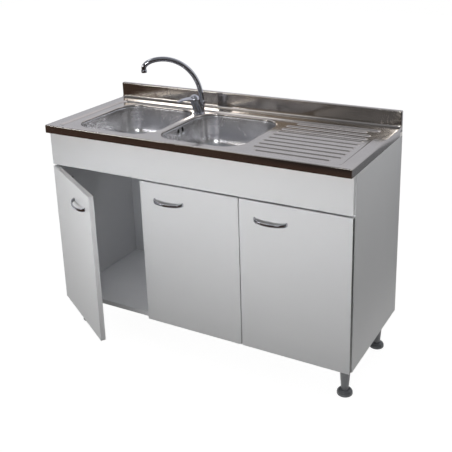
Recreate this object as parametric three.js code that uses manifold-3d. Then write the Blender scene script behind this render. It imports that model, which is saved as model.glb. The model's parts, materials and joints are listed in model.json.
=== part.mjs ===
// Kitchen sink unit: a pressed steel top with two bowls and a ribbed drainboard, a lever tap, and a
// three-door cabinet on four adjustable legs. Millimetres, +Z up.
// The pieces are placed in the unit's own corner frame: X from the left end to the right, Y from the
// front edge of the sink top to the back, Z from the floor up. The last lines move the whole unit so
// that its origin is on the floor, in the middle of its outer box.
import * as THREE from "three";
import { mergeVertices } from "three/addons/utils/BufferGeometryUtils.js";
import Module from "manifold-3d";

// ---------- driving dimensions ----------

// Sink top
const WIDTH = 1200;
const HEIGHT = 850;
const SHEET = 1; // stainless sheet of the top and the bowls
const RIM_DROP = 30; // the folded rim's height
const RIM_RADIUS = 4;
const UPSTAND_HEIGHT = 60; // above the top face
const UPSTAND_THICKNESS = 18;
const COVE_RADIUS = 16;
const FIELD_SIDE_BORDER = 45; // flat border left and right of the sunken field
const FIELD_FRONT_BORDER = 20;
const REAR_LEDGE = 57; // flat ledge between the field and the upstand
const FIELD_CORNER = 24;
const FIELD_DROP = 5;
const FIELD_SLOPE = 5; // horizontal run of the pressed step

// Bowls
const BOWL_WIDTH = 332;
const BOWL_LENGTH = 356; // front to back
const BOWL_DEPTH = 150; // below the sunken field
const BOWL_CORNER = 80;
const BOWL_DRAFT = 10; // how far a wall leans in on its way down
const BOWL_FLOOR_RADIUS = 42;
const BOWL_FALL = 4; // the floor's fall to the waste
const BOWL_FRONT_MARGIN = 35; // from the field's front edge to the bowls' front wall
const BOWL_REAR_MARGIN = 14; // from the bowls' rear wall to the field's rear edge
const LEFT_BOWL_MARGIN = 42.5; // from the field's left edge to the left bowl's wall
const BOWL_SPACING = 28.5; // wall to wall between the two bowls
const LIP_RADIUS = 6; // rolled edge from the field down into a bowl
const LIP_SKIRT = 3;

// Drainboard ribs
const RIB_COUNT = 10;
const RIB_WIDTH = 14;
const RIB_RISE = 4;
const RIB_START_MARGIN = 37; // from the right bowl's wall to the first end of the ribs
const RIB_END_MARGIN = 23; // from the ribs' far end to the field's right edge
const RIB_FRONT_MARGIN = 42; // from the field's front edge to the first rib
const RIB_REAR_MARGIN = 27; // from the last rib to the field's rear edge
const RIB_FIELD_CORNER = 50;

// Wastes
const WASTE_FLANGE_RADIUS = 56;
const WASTE_HOLE_RADIUS = 45;
const WASTE_SEAT_DROP = 2;
const WASTE_CUP_DEPTH = 42;
const WASTE_WALL = 2;
const WASTE_TAIL_RADIUS = 20;
const WASTE_TAIL_LENGTH = 24;
const WASTE_NUT_HEIGHT = 9;
const WASTE_NUT_WIDTH = 8;
const STRAINER_DEPTH = 24;
const STRAINER_HOLES = 8;
const STRAINER_HOLE_RADIUS = 4;
const STRAINER_KNOB_HEIGHT = 20;

// Overflow of the right bowl
const OVERFLOW_SLOT_WIDTH = 13;
const OVERFLOW_SLOT_HEIGHT = 18;
const OVERFLOW_SLOT_SPACING = 29;
const OVERFLOW_OFFSET = 4; // slots in front of the bowl's middle
const OVERFLOW_DROP = 25; // slot centres below the sunken field
const OVERFLOW_HOUSING_DEPTH = 12;
const OVERFLOW_HOUSING_MARGIN = 5;

// Tap
const TAP_REAR_MARGIN = 23; // tap's axis in front of the bowls' rear walls
const TAP_FLANGE_RADIUS = 23.5;
const TAP_FLANGE_HEIGHT = 5;
const TAP_BODY_RADIUS = 18.5;
const TAP_BODY_LENGTH = 58; // along its own leaning axis, to the centre of its ball top
const TAP_LEAN_DEG = 27; // towards the user
const TAP_SHANK_RADIUS = 16;
const TAP_SHANK_LENGTH = 60; // below the sunken field
const TAP_HOLE_RADIUS = 17.5;
const TAP_WASHER_RADIUS = 22.5;
const TAP_WASHER_HEIGHT = 3;
const TAP_NUT_RADIUS = 20.5;
const TAP_NUT_HEIGHT = 9;
const HEAD_WALL = 2.5;
const HEAD_RUNNING_GAP = 0.8;
const HEAD_RIM_DEG = 30; // the head's rim lies this far above its ball's equator
const STEM_RADIUS = 6;
const LEVER_LENGTH = 72; // from the ball's centre to the tip
const LEVER_ROOT_WIDTH = 28;
const LEVER_TIP_WIDTH = 14;
const LEVER_THICKNESS = 8;
const LEVER_RISE_DEG = 22; // the blade above a plane square to the barrel
const LEVER_CROWN = 4; // how far the blade's middle arches up
const LEVER_SWING_DEG = 25; // towards the left bowl, as photographed
const SPOUT_BACKSET = 22; // swivel axis behind the body's axis
const SPOUT_RADIUS = 9.5;
const SPOUT_REACH = 214;
const SPOUT_CROWN_SHARE = 0.7; // the crown's place along the reach
const SPOUT_RISE = 211; // highest point of the centre line above the top face
const SPOUT_OUTLET_RISE = 164;
const SPOUT_STRAIGHT = 4; // upright length at the nut and at the outlet
const SPOUT_SWING_DEG = 50; // towards the left bowl, as photographed
const SPOUT_NUT_RADIUS = 12.5;
const SPOUT_NUT_HEIGHT = 20;
const SPOUT_SOCKET_RISE = 21; // socket's top face above the top face of the sink
const AERATOR_RADIUS = 11;
const AERATOR_LENGTH = 12;
const AERATOR_BORE = 8;

// Cabinet
const PANEL = 18;
const BACK_PANEL = 4;
const LEG_HEIGHT = 130; // floor to the underside of the cabinet
const FRONT_SETBACK = 22; // doors' front plane behind the rim's front edge
const REAR_SETBACK = 2;
const PARTITION_CLEARANCE = 11; // from the right bowl's wall to the partition
const DOOR_STANDOFF = 1.7; // clearance between closed doors and the cabinet
const FASCIA_HEIGHT = 130;
const FACE_END_INSET = 1.5; // fascia and outer doors inside the unit's ends
const FASCIA_DOOR_GAP = 5.7;
const DOOR_BOTTOM_OVERHANG = 2.5; // the doors' lower edge above the cabinet's underside
const DOOR_GAP = 3.4;
const EDGE_BEVEL = 0.8;
const EDGE_CORNER = 1.6;
const BACK_PANEL_TOP = 620;
const REAR_RAIL_HEIGHT = 100;

// Doors, hinges and handles
const OPEN_DEG = 31.6; // left door, as photographed
const PIVOT_INSET = 2.5; // hinge axis inside the door's edge, on its front plane
const CUP_RADIUS = 17.5;
const CUP_DEPTH = 11.2;
const CUP_WALL = 1.2;
const CUP_EDGE_DISTANCE = 21.5; // door edge to the cup's centre
const CUP_FLANGE_THICKNESS = 0.9;
const CUP_FLANGE_WIDTH = 14;
const CUP_FLANGE_LENGTH = 58;
const HINGE_END_DISTANCE = 90; // hinge centre from the door's top and bottom edge
const ARM_WIDTH = 18;
const ARM_LENGTH = 60;
const ARM_DEPTH = 12; // how far the arm stands off the panel
const ARM_REACH = 5.95; // the arm's nose in front of the cabinet
const ARM_NOSE = 8;
const HINGE_PLATE_THICKNESS = 2;
const HINGE_PLATE_LENGTH = 50;
const HINGE_PLATE_HEIGHT = 48;
const HINGE_PLATE_SETBACK = 15;
const HANDLE_SPAN = 116; // between the bow's feet, centre to centre
const HANDLE_BOW = 23;
const HANDLE_THICKNESS = 7;
const HANDLE_HEIGHT = 14;
const HANDLE_END_HEIGHT = 9;
const HANDLE_FREE_EDGE = { left: 107, middle: 120, right: 116 }; // its centre from the free edge
const HANDLE_DROP = 62; // handle centre below the door's top edge

// Legs
const LEG_INSET_X = 45;
const LEG_FRONT_Y = 100;
const LEG_REAR_INSET = 70; // from the unit's back
const LEG_TOP_RADIUS = 20.5;
const LEG_ANKLE_RADIUS = 13;
const LEG_BORE_RADIUS = 7;
const LEG_FLARE = 4;
const SOCKET_PLATE = 64;
const SOCKET_THICKNESS = 3;
const SOCKET_SPIGOT_RADIUS = 15;
const SOCKET_SPIGOT_HEIGHT = 14;
const FOOT_RADIUS = 27.5;
const FOOT_HEIGHT = 20;
const FOOT_STEM_RADIUS = 6.5;
const FOOT_STEM_LENGTH = 70;

// Fits
const SEAT = 0.3; // between faces that touch
const RUNNING = 0.5; // around pieces that slide or turn
const TURN_STEPS = 24; // facets round a turned piece
const FINE_STEPS = 16; // facets round a small or hidden turned piece
const CORNER_STEPS = 5; // facets round a quarter corner
const EDGE_STEPS = 1; // facets round a board's corner

// ---------- positions that follow ----------

const FIELD_Z = HEIGHT - FIELD_DROP;
const BOWL_FRONT_Y = FIELD_FRONT_BORDER + BOWL_FRONT_MARGIN;
const BOWL_REAR_Y = BOWL_FRONT_Y + BOWL_LENGTH;
const FIELD_REAR_EDGE = BOWL_REAR_Y + BOWL_REAR_MARGIN;
const DEPTH = FIELD_REAR_EDGE + REAR_LEDGE + UPSTAND_THICKNESS;
const CARCASS_TOP = HEIGHT - RIM_DROP;
const CARCASS_FRONT = FRONT_SETBACK + PANEL + DOOR_STANDOFF;
const CARCASS_BACK = DEPTH - REAR_SETBACK;
const BASE_TOP = LEG_HEIGHT + PANEL;
const FIELD_RIGHT = WIDTH - FIELD_SIDE_BORDER;
const BOWL_CENTRE_Y = BOWL_FRONT_Y + BOWL_LENGTH / 2;
const LEFT_BOWL_X = FIELD_SIDE_BORDER + LEFT_BOWL_MARGIN + BOWL_WIDTH / 2;
const RIGHT_BOWL_X = LEFT_BOWL_X + BOWL_WIDTH + BOWL_SPACING;
const RIGHT_BOWL_END = RIGHT_BOWL_X + BOWL_WIDTH / 2;
const OVERFLOW_Y = BOWL_CENTRE_Y - OVERFLOW_OFFSET;
const TAP_X = (LEFT_BOWL_X + RIGHT_BOWL_X) / 2;
const TAP_Y = BOWL_REAR_Y - TAP_REAR_MARGIN;
const RIB_FRONT_Y = FIELD_FRONT_BORDER + RIB_FRONT_MARGIN;
const RIB_REAR_Y = FIELD_REAR_EDGE - RIB_REAR_MARGIN;
const BOWL_SEAT_Z = FIELD_Z - BOWL_DEPTH - BOWL_FALL - WASTE_SEAT_DROP;
const FASCIA_BOTTOM = CARCASS_TOP - FASCIA_HEIGHT;
const DOOR_TOP = FASCIA_BOTTOM - FASCIA_DOOR_GAP;
const DOOR_BOTTOM = LEG_HEIGHT + DOOR_BOTTOM_OVERHANG;
const PARTITION_X = RIGHT_BOWL_END + PARTITION_CLEARANCE + PANEL / 2;
const PAIR_END = PARTITION_X - DOOR_GAP / 2; // right end of the middle door
const PAIR_WIDTH = (PAIR_END - FACE_END_INSET - DOOR_GAP) / 2; // the left and the middle door
const SINGLE_WIDTH = WIDTH - FACE_END_INSET - PAIR_END - DOOR_GAP; // the right door
const LEG_REAR_Y = DEPTH - LEG_REAR_INSET;
const HINGE_HEIGHTS = [DOOR_BOTTOM + HINGE_END_DISTANCE, DOOR_TOP - HINGE_END_DISTANCE];
const LEG_PLACES = {
  front_left: [LEG_INSET_X, LEG_FRONT_Y],
  front_right: [WIDTH - LEG_INSET_X, LEG_FRONT_Y],
  rear_left: [LEG_INSET_X, LEG_REAR_Y],
  rear_right: [WIDTH - LEG_INSET_X, LEG_REAR_Y],
};

// ---------- materials ----------

function finish(color, roughness, metalness) {
  return new THREE.MeshStandardMaterial({ color, roughness, metalness });
}

const FINISH = {
  steel: finish(0x9c9a98, 0.32, 1),
  chrome: finish(0xd9dade, 0.08, 1),
  laminate: finish(0xd8d8da, 0.45, 0),
  board: finish(0xb9b6b1, 0.7, 0),
  batten: finish(0xb08d62, 0.8, 0),
  hinge: finish(0xb5b7ba, 0.3, 1),
  leg: finish(0x8f9296, 0.4, 0.2),
  foot: finish(0x6d7074, 0.35, 0.3),
  waste: finish(0xc9cacb, 0.2, 1),
  plastic: finish(0xe6e6e2, 0.5, 0),
};

// ---------- shape helpers ----------

const wasm = await Module();
wasm.setup();

// A closed geometry as a solid that can be joined and cut.
function solid(geometry) {
  const bare = geometry.index ? geometry.toNonIndexed() : geometry.clone();
  bare.deleteAttribute("normal");
  bare.deleteAttribute("uv");
  const merged = mergeVertices(bare, 1e-4);
  const mesh = new wasm.Mesh({
    numProp: 3,
    vertProperties: merged.attributes.position.array,
    triVerts: new Uint32Array(merged.index.array),
  });
  return new wasm.Manifold(mesh);
}

// The solid back as a geometry.
function shaped(made) {
  const mesh = made.getMesh();
  const geometry = new THREE.BufferGeometry();
  geometry.setAttribute("position", new THREE.BufferAttribute(mesh.vertProperties, 3));
  geometry.setIndex(new THREE.BufferAttribute(mesh.triVerts, 1));
  geometry.computeVertexNormals();
  return geometry;
}

function join(...geometries) {
  return geometries.map(solid).reduce((whole, piece) => whole.add(piece));
}

// Turns the faces round if they point inwards, from the sign of the enclosed volume.
function facingOut(geometry) {
  const points = geometry.attributes.position;
  const index = geometry.index.array;
  const [a, b, c] = [new THREE.Vector3(), new THREE.Vector3(), new THREE.Vector3()];
  let volume = 0;
  for (let i = 0; i < index.length; i += 3) {
    a.fromBufferAttribute(points, index[i]);
    b.fromBufferAttribute(points, index[i + 1]);
    c.fromBufferAttribute(points, index[i + 2]);
    volume += a.dot(b.cross(c));
  }
  if (volume < 0) index.reverse();
  return geometry;
}

function slab(low, high) {
  const size = high.map((end, i) => end - low[i]);
  const centre = high.map((end, i) => (end + low[i]) / 2);
  return new THREE.BoxGeometry(...size).translate(...centre);
}

// Points of a rectangle with round corners, anticlockwise; a circle when the corner fills it.
function roundedOutline(halfX, halfY, corner, steps = CORNER_STEPS) {
  const radius = Math.min(corner, halfX, halfY);
  const points = [];
  [[1, -1], [1, 1], [-1, 1], [-1, -1]].forEach(([sideX, sideY], quarter) => {
    for (let step = 0; step <= steps; step++) {
      const angle = ((quarter - 1 + step / steps) * Math.PI) / 2;
      const x = sideX * (halfX - radius) + radius * Math.cos(angle);
      const y = sideY * (halfY - radius) + radius * Math.sin(angle);
      points.push(new THREE.Vector2(x, y));
    }
  });
  return points;
}

function ring(outline, [x, y], z) {
  return outline.map((point) => new THREE.Vector3(x + point.x, y + point.y, z));
}

// Skin over a list of rings of equally many points. A closed loft joins its last ring to its first;
// an open one gets a flat fan on each end.
function loft(rings, closed) {
  const count = rings[0].length;
  const points = rings.flat();
  const index = [];
  const spans = closed ? rings.length : rings.length - 1;
  for (let row = 0; row < spans; row++) {
    const next = (row + 1) % rings.length;
    for (let i = 0; i < count; i++) {
      const j = (i + 1) % count;
      const [a, b] = [row * count + i, row * count + j];
      const [c, d] = [next * count + i, next * count + j];
      index.push(a, b, d, a, d, c);
    }
  }
  if (!closed) {
    const ends = [[0, false], [rings.length - 1, true]];
    for (const [row, last] of ends) {
      const middle = new THREE.Vector3();
      rings[row].forEach((point) => middle.addScaledVector(point, 1 / count));
      const hub = points.push(middle) - 1;
      for (let i = 0; i < count; i++) {
        const [a, b] = [row * count + i, row * count + ((i + 1) % count)];
        index.push(...(last ? [a, b, hub] : [b, a, hub]));
      }
    }
  }
  const geometry = new THREE.BufferGeometry().setFromPoints(points);
  geometry.setIndex(index);
  return facingOut(geometry);
}

// A closed (radius, height) profile turned about Z.
function turned(profile, steps = TURN_STEPS) {
  const points = profile.map(([radius, z]) => new THREE.Vector2(radius, z));
  points.push(points[0].clone());
  return facingOut(new THREE.LatheGeometry(points, steps).rotateX(Math.PI / 2));
}

function cylinder(radius, low, high, steps = TURN_STEPS) {
  const height = high - low;
  const upright = new THREE.CylinderGeometry(radius, radius, height, steps).rotateX(Math.PI / 2);
  return upright.translate(0, 0, (low + high) / 2);
}

// A flat shape raised from one height to another.
function raised(shape, low, high) {
  const settings = { depth: high - low, bevelEnabled: false, curveSegments: CORNER_STEPS };
  return new THREE.ExtrudeGeometry(shape, settings).translate(0, 0, low);
}

const AXIS_X = new THREE.Vector3(1, 0, 0);
const AXIS_Y = new THREE.Vector3(0, 1, 0);
const AXIS_Z = new THREE.Vector3(0, 0, 1);

// A shape drawn in (Y, Z), carried from one X to another.
function alongX(shape, left, right) {
  const settings = { depth: right - left, bevelEnabled: false, curveSegments: CORNER_STEPS };
  const turn = new THREE.Matrix4().makeBasis(AXIS_Y, AXIS_Z, AXIS_X);
  return new THREE.ExtrudeGeometry(shape, settings).applyMatrix4(turn).translate(left, 0, 0);
}

// A board with slightly rounded edges, drawn in (X, Z) and as deep as given along Y.
function board(low, high) {
  const [width, , height] = high.map((end, i) => end - low[i]);
  const [halfX, halfZ] = [width / 2 - EDGE_BEVEL, height / 2 - EDGE_BEVEL];
  const outline = roundedOutline(halfX, halfZ, EDGE_CORNER, EDGE_STEPS);
  const settings = {
    depth: high[1] - low[1] - 2 * EDGE_BEVEL,
    bevelThickness: EDGE_BEVEL,
    bevelSize: EDGE_BEVEL,
    bevelSegments: 1,
  };
  const turn = new THREE.Matrix4().makeBasis(AXIS_X, AXIS_Z, AXIS_Y.clone().negate());
  const flat = new THREE.ExtrudeGeometry(new THREE.Shape(outline), settings).applyMatrix4(turn);
  return flat.translate((low[0] + high[0]) / 2, high[1] - EDGE_BEVEL, (low[2] + high[2]) / 2);
}

// A bar along a path in one plane. Its oval section is "wide" across that plane and "thick" in it.
function bar(path, plane, sizes) {
  const steps = 10;
  const rings = path.map((centre, i) => {
    const before = path[Math.max(i - 1, 0)];
    const after = path[Math.min(i + 1, path.length - 1)];
    const across = after.clone().sub(before).normalize().cross(plane);
    const [wide, thick] = sizes(i / (path.length - 1));
    return Array.from({ length: steps }, (_, k) => {
      const angle = (2 * Math.PI * k) / steps;
      const point = centre.clone().addScaledVector(plane, (wide / 2) * Math.sin(angle));
      return point.addScaledVector(across, (thick / 2) * Math.cos(angle));
    });
  });
  return loft(rings, false);
}

const unit = new THREE.Group();

function place(name, geometry, material, parent = unit) {
  const mesh = new THREE.Mesh(geometry, material);
  mesh.name = name;
  parent.add(mesh);
  return mesh;
}

// ---------- sink top ----------

// Cross-section of the top's skin, filled down to the rim's lower edge and shrunk by "inside".
function topSection(inside) {
  const top = HEIGHT - inside;
  const bottom = CARCASS_TOP - (inside ? SHEET : 0);
  const crest = HEIGHT + UPSTAND_HEIGHT - inside;
  const face = DEPTH - UPSTAND_THICKNESS + inside;
  const back = DEPTH - inside;
  const front = inside;
  const edge = RIM_RADIUS - inside;
  const cove = COVE_RADIUS + inside;
  const section = new THREE.Shape();
  section.moveTo(front, bottom);
  section.lineTo(front, top - edge);
  section.absarc(front + edge, top - edge, edge, Math.PI, Math.PI / 2, true);
  section.absarc(face - cove, top + cove, cove, -Math.PI / 2, 0, false);
  section.lineTo(face, crest - edge);
  section.absarc(face + edge, crest - edge, edge, Math.PI, Math.PI / 2, true);
  section.lineTo(back, crest);
  section.lineTo(back, bottom);
  section.closePath();
  return section;
}

function fieldOutline(inset) {
  const halfX = (FIELD_RIGHT - FIELD_SIDE_BORDER) / 2 - inset;
  const halfY = (FIELD_REAR_EDGE - FIELD_FRONT_BORDER) / 2 - inset;
  return roundedOutline(halfX, halfY, FIELD_CORNER - inset);
}

const FIELD_CENTRE = [
  (FIELD_RIGHT + FIELD_SIDE_BORDER) / 2,
  (FIELD_REAR_EDGE + FIELD_FRONT_BORDER) / 2,
];

function bowlOutline(grow) {
  return roundedOutline(BOWL_WIDTH / 2 + grow, BOWL_LENGTH / 2 + grow, BOWL_CORNER + grow);
}

// The pressed step round the sunken field.
function fieldStep() {
  const wide = fieldOutline(-SHEET);
  const outer = fieldOutline(0);
  const inner = fieldOutline(FIELD_SLOPE);
  const rings = [
    ring(wide, FIELD_CENTRE, HEIGHT),
    ring(outer, FIELD_CENTRE, HEIGHT),
    ring(inner, FIELD_CENTRE, FIELD_Z),
    ring(fieldOutline(FIELD_SLOPE + SHEET), FIELD_CENTRE, FIELD_Z),
    ring(fieldOutline(FIELD_SLOPE + SHEET), FIELD_CENTRE, FIELD_Z - SHEET),
    ring(inner, FIELD_CENTRE, FIELD_Z - SHEET),
    ring(outer, FIELD_CENTRE, HEIGHT - SHEET),
    ring(wide, FIELD_CENTRE, HEIGHT - SHEET),
  ];
  return loft(rings, true);
}

function fieldFloor() {
  const placed = (outline, [x, y]) => outline.map((point) => new THREE.Vector2(point.x + x, point.y + y));
  const floor = new THREE.Shape(placed(fieldOutline(FIELD_SLOPE), FIELD_CENTRE));
  for (const x of [LEFT_BOWL_X, RIGHT_BOWL_X]) {
    floor.holes.push(new THREE.Path(placed(bowlOutline(LIP_RADIUS), [x, BOWL_CENTRE_Y])));
  }
  return raised(floor, FIELD_Z - SHEET, FIELD_Z);
}

// The edge of the sheet, rolled down into a bowl.
function rolledLip(centreX) {
  const centre = [centreX, BOWL_CENTRE_Y];
  const above = [[LIP_RADIUS + SHEET, 0]];
  const below = [[LIP_RADIUS + SHEET, SHEET]];
  for (let step = 0; step <= 3; step++) {
    const angle = (step * Math.PI) / 6;
    const outer = [LIP_RADIUS * (1 - Math.sin(angle)), LIP_RADIUS * (1 - Math.cos(angle))];
    const under = LIP_RADIUS - SHEET;
    above.push(outer);
    below.push([LIP_RADIUS - under * Math.sin(angle), LIP_RADIUS - under * Math.cos(angle)]);
  }
  above.push([0, LIP_RADIUS + LIP_SKIRT]);
  below.push([SHEET, LIP_RADIUS + LIP_SKIRT]);
  const profile = [...above, ...below.reverse()];
  const rings = profile.map(([grow, drop]) => ring(bowlOutline(grow), centre, FIELD_Z - drop));
  return loft(rings, true);
}

// One rib: a long bead with round ends. Its solid is cut to what stands above the sheet's underside.
function ribBead(y, radius, sunk) {
  const left = RIGHT_BOWL_END + RIB_START_MARGIN;
  const right = FIELD_RIGHT - RIB_END_MARGIN;
  const toEdge = Math.min(y - RIB_FRONT_Y, RIB_REAR_Y - y) + RIB_WIDTH / 2;
  const intoCorner = Math.max(RIB_FIELD_CORNER - toEdge, 0);
  const inset = RIB_FIELD_CORNER - Math.sqrt(RIB_FIELD_CORNER ** 2 - intoCorner ** 2);
  const length = right - left - 2 * inset - RIB_WIDTH;
  const bead = new THREE.CapsuleGeometry(radius, length, 3, 10).rotateZ(Math.PI / 2);
  return bead.translate((left + right) / 2, y, FIELD_Z - sunk);
}

function addRibs(top) {
  const radius = (RIB_RISE ** 2 + (RIB_WIDTH / 2) ** 2) / (2 * RIB_RISE);
  const sunk = radius - RIB_RISE;
  const space = slab([0, 0, FIELD_Z - SHEET], [WIDTH, DEPTH, HEIGHT]);
  const pitch = (RIB_REAR_Y - RIB_FRONT_Y) / (RIB_COUNT - 1);
  let made = top;
  for (let i = 0; i < RIB_COUNT; i++) {
    const y = RIB_FRONT_Y + i * pitch;
    made = made.add(solid(ribBead(y, radius, sunk)).intersect(solid(space)));
    made = made.subtract(solid(ribBead(y, radius - SHEET, sunk)));
  }
  return made;
}

function sinkTop() {
  const skin = solid(alongX(topSection(0), 0, WIDTH));
  const hollow = solid(alongX(topSection(SHEET), SHEET, WIDTH - SHEET));
  const outline = ring(fieldOutline(0), FIELD_CENTRE, 0).map(({ x, y }) => new THREE.Vector2(x, y));
  const opening = raised(new THREE.Shape(outline), HEIGHT - 2 * SHEET, HEIGHT + SHEET);
  const lips = [LEFT_BOWL_X, RIGHT_BOWL_X].map(rolledLip);
  const pressed = join(fieldStep(), fieldFloor(), ...lips);
  const ribbed = addRibs(skin.subtract(hollow).subtract(solid(opening)).add(pressed));
  const hole = cylinder(TAP_HOLE_RADIUS, FIELD_Z - 2 * SHEET, HEIGHT).translate(TAP_X, TAP_Y, 0);
  return shaped(ribbed.subtract(solid(hole)));
}

// ---------- bowls, wastes and overflow ----------

// Half of the bowl's section: [inset from the rim's outline, drop, direction the skin faces].
function bowlProfile() {
  const rimDrop = LIP_RADIUS + LIP_SKIRT + SEAT;
  const wallDrop = BOWL_DEPTH - BOWL_FLOOR_RADIUS;
  const profile = [[0, rimDrop, 0], [BOWL_DRAFT, wallDrop, 0]];
  for (let step = 1; step <= 5; step++) {
    const angle = (step * Math.PI) / 10;
    const inset = BOWL_DRAFT + BOWL_FLOOR_RADIUS * (1 - Math.cos(angle));
    profile.push([inset, wallDrop + BOWL_FLOOR_RADIUS * Math.sin(angle), angle]);
  }
  return profile;
}

function bowlShell(centreX) {
  const centre = [centreX, BOWL_CENTRE_Y];
  const profile = bowlProfile();
  const skin = (outside) =>
    profile.map(([inset, drop, angle]) => {
      const grow = outside * Math.cos(angle) - inset;
      return ring(bowlOutline(grow), centre, FIELD_Z - drop - outside * Math.sin(angle));
    });
  const disc = (radius, z) => ring(roundedOutline(radius, radius, radius), centre, z);
  const seat = (outside) => [
    disc(WASTE_FLANGE_RADIUS + 2 * SHEET, BOWL_SEAT_Z + WASTE_SEAT_DROP - outside),
    disc(WASTE_FLANGE_RADIUS + SHEET, BOWL_SEAT_Z - outside),
    disc(WASTE_HOLE_RADIUS, BOWL_SEAT_Z - outside),
  ];
  const inner = [...skin(0), ...seat(0)];
  const outer = [...skin(SHEET), ...seat(SHEET)].reverse();
  return loft([...inner, ...outer], true);
}

function overflowSlots() {
  const wall = RIGHT_BOWL_X - BOWL_WIDTH / 2;
  const z = FIELD_Z - OVERFLOW_DROP;
  const reach = BOWL_DRAFT + SHEET;
  return [-1, 1].map((side) => {
    const y = OVERFLOW_Y + (side * OVERFLOW_SLOT_SPACING) / 2;
    const outline = roundedOutline(
      OVERFLOW_SLOT_WIDTH / 2, OVERFLOW_SLOT_HEIGHT / 2, OVERFLOW_SLOT_WIDTH / 2,
    );
    const shape = new THREE.Shape(outline.map((point) => new THREE.Vector2(point.x + y, point.y + z)));
    return alongX(shape, wall - reach, wall + reach);
  });
}

function rightBowl() {
  const shell = solid(bowlShell(RIGHT_BOWL_X));
  return shaped(overflowSlots().reduce((made, slot) => made.subtract(solid(slot)), shell));
}

// A shallow open box behind the overflow slots, seated on the bowl's outer wall.
function overflowHousing() {
  const wall = RIGHT_BOWL_X - BOWL_WIDTH / 2 - SHEET - SEAT;
  const halfY = (OVERFLOW_SLOT_SPACING + OVERFLOW_SLOT_WIDTH) / 2 + OVERFLOW_HOUSING_MARGIN;
  const halfZ = OVERFLOW_SLOT_HEIGHT / 2 + OVERFLOW_HOUSING_MARGIN;
  const z = FIELD_Z - OVERFLOW_DROP;
  const shape = (shrink) => {
    const outline = roundedOutline(halfY - shrink, halfZ - shrink, OVERFLOW_HOUSING_MARGIN - shrink);
    return new THREE.Shape(outline.map((point) => new THREE.Vector2(point.x + OVERFLOW_Y, point.y + z)));
  };
  const back = wall - OVERFLOW_HOUSING_DEPTH;
  const shell = solid(alongX(shape(0), back, wall));
  const hollow = alongX(shape(WASTE_WALL), back + WASTE_WALL, wall + WASTE_WALL);
  const spigot = cylinder(OVERFLOW_HOUSING_MARGIN, z - halfZ - OVERFLOW_HOUSING_MARGIN, z - halfZ + WASTE_WALL);
  const bore = cylinder(
    OVERFLOW_HOUSING_MARGIN - WASTE_WALL, z - halfZ - 2 * OVERFLOW_HOUSING_MARGIN, z - halfZ + 2 * WASTE_WALL,
  );
  const tail = (piece) => solid(piece.translate(back - WASTE_WALL, OVERFLOW_Y, 0));
  return shaped(shell.subtract(solid(hollow)).add(tail(spigot)).subtract(tail(bore)));
}

const WASTE_BODY_RADIUS = WASTE_HOLE_RADIUS - 2 * RUNNING;
const WASTE_LEDGE_RADIUS = WASTE_BODY_RADIUS - 2 * WASTE_WALL;

function wasteBody() {
  const flange = BOWL_SEAT_Z + SEAT;
  const top = flange + WASTE_WALL;
  const floor = flange - WASTE_CUP_DEPTH;
  const tail = floor - WASTE_TAIL_LENGTH;
  return turned([
    [WASTE_FLANGE_RADIUS, flange], [WASTE_FLANGE_RADIUS - WASTE_WALL, top],
    [WASTE_LEDGE_RADIUS, top], [WASTE_LEDGE_RADIUS, floor + WASTE_WALL],
    [WASTE_TAIL_RADIUS - WASTE_WALL, floor], [WASTE_TAIL_RADIUS - WASTE_WALL, tail],
    [WASTE_TAIL_RADIUS, tail], [WASTE_TAIL_RADIUS, floor - WASTE_WALL],
    [WASTE_BODY_RADIUS, floor], [WASTE_BODY_RADIUS, flange],
  ]);
}

function wasteNut() {
  const top = BOWL_SEAT_Z - SHEET - SEAT;
  const inner = WASTE_BODY_RADIUS + SEAT;
  return turned([
    [inner, top], [inner + WASTE_NUT_WIDTH, top],
    [inner + WASTE_NUT_WIDTH, top - WASTE_NUT_HEIGHT], [inner, top - WASTE_NUT_HEIGHT],
  ]);
}

// A perforated basket with a lifting knob, sitting in the waste body.
function strainer() {
  const top = BOWL_SEAT_Z + 2 * SEAT + WASTE_WALL;
  const rim = WASTE_LEDGE_RADIUS + WASTE_WALL;
  const side = WASTE_LEDGE_RADIUS - RUNNING;
  const floor = top - STRAINER_DEPTH;
  const knob = STEM_RADIUS;
  const basket = turned([
    [0, floor], [side - 2 * WASTE_WALL, floor], [side, top],
    [rim, top], [rim, top + SHEET], [side - WASTE_WALL, top + SHEET],
    [side - 3 * WASTE_WALL, floor + WASTE_WALL], [knob / 2, floor + WASTE_WALL],
    [knob / 2, floor + STRAINER_KNOB_HEIGHT - knob], [knob, floor + STRAINER_KNOB_HEIGHT - knob],
    [knob, floor + STRAINER_KNOB_HEIGHT], [0, floor + STRAINER_KNOB_HEIGHT],
  ]);
  let made = solid(basket);
  for (let i = 0; i < STRAINER_HOLES; i++) {
    const angle = (2 * Math.PI * i) / STRAINER_HOLES;
    const hole = cylinder(STRAINER_HOLE_RADIUS, floor - WASTE_WALL, floor + 2 * WASTE_WALL, 6);
    hole.translate((side / 2) * Math.cos(angle), (side / 2) * Math.sin(angle), 0);
    made = made.subtract(solid(hole));
  }
  return shaped(made);
}

// ---------- tap ----------

const TAP_SEAT_Z = FIELD_Z + SEAT + TAP_FLANGE_HEIGHT + SEAT;
const TAP_LEAN = THREE.MathUtils.degToRad(TAP_LEAN_DEG);
const HEAD_BALL_RADIUS = TAP_BODY_RADIUS;
const SOCKET_RADIUS = SPOUT_NUT_RADIUS - 2;

function tapFlange() {
  const low = FIELD_Z + SEAT;
  const high = low + TAP_FLANGE_HEIGHT;
  const bore = TAP_SHANK_RADIUS + SEAT;
  return turned([
    [bore, low], [TAP_FLANGE_RADIUS, low], [TAP_FLANGE_RADIUS, low + TAP_FLANGE_HEIGHT / 2],
    [TAP_FLANGE_RADIUS - TAP_FLANGE_HEIGHT / 2, high], [bore, high],
  ]);
}

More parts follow.
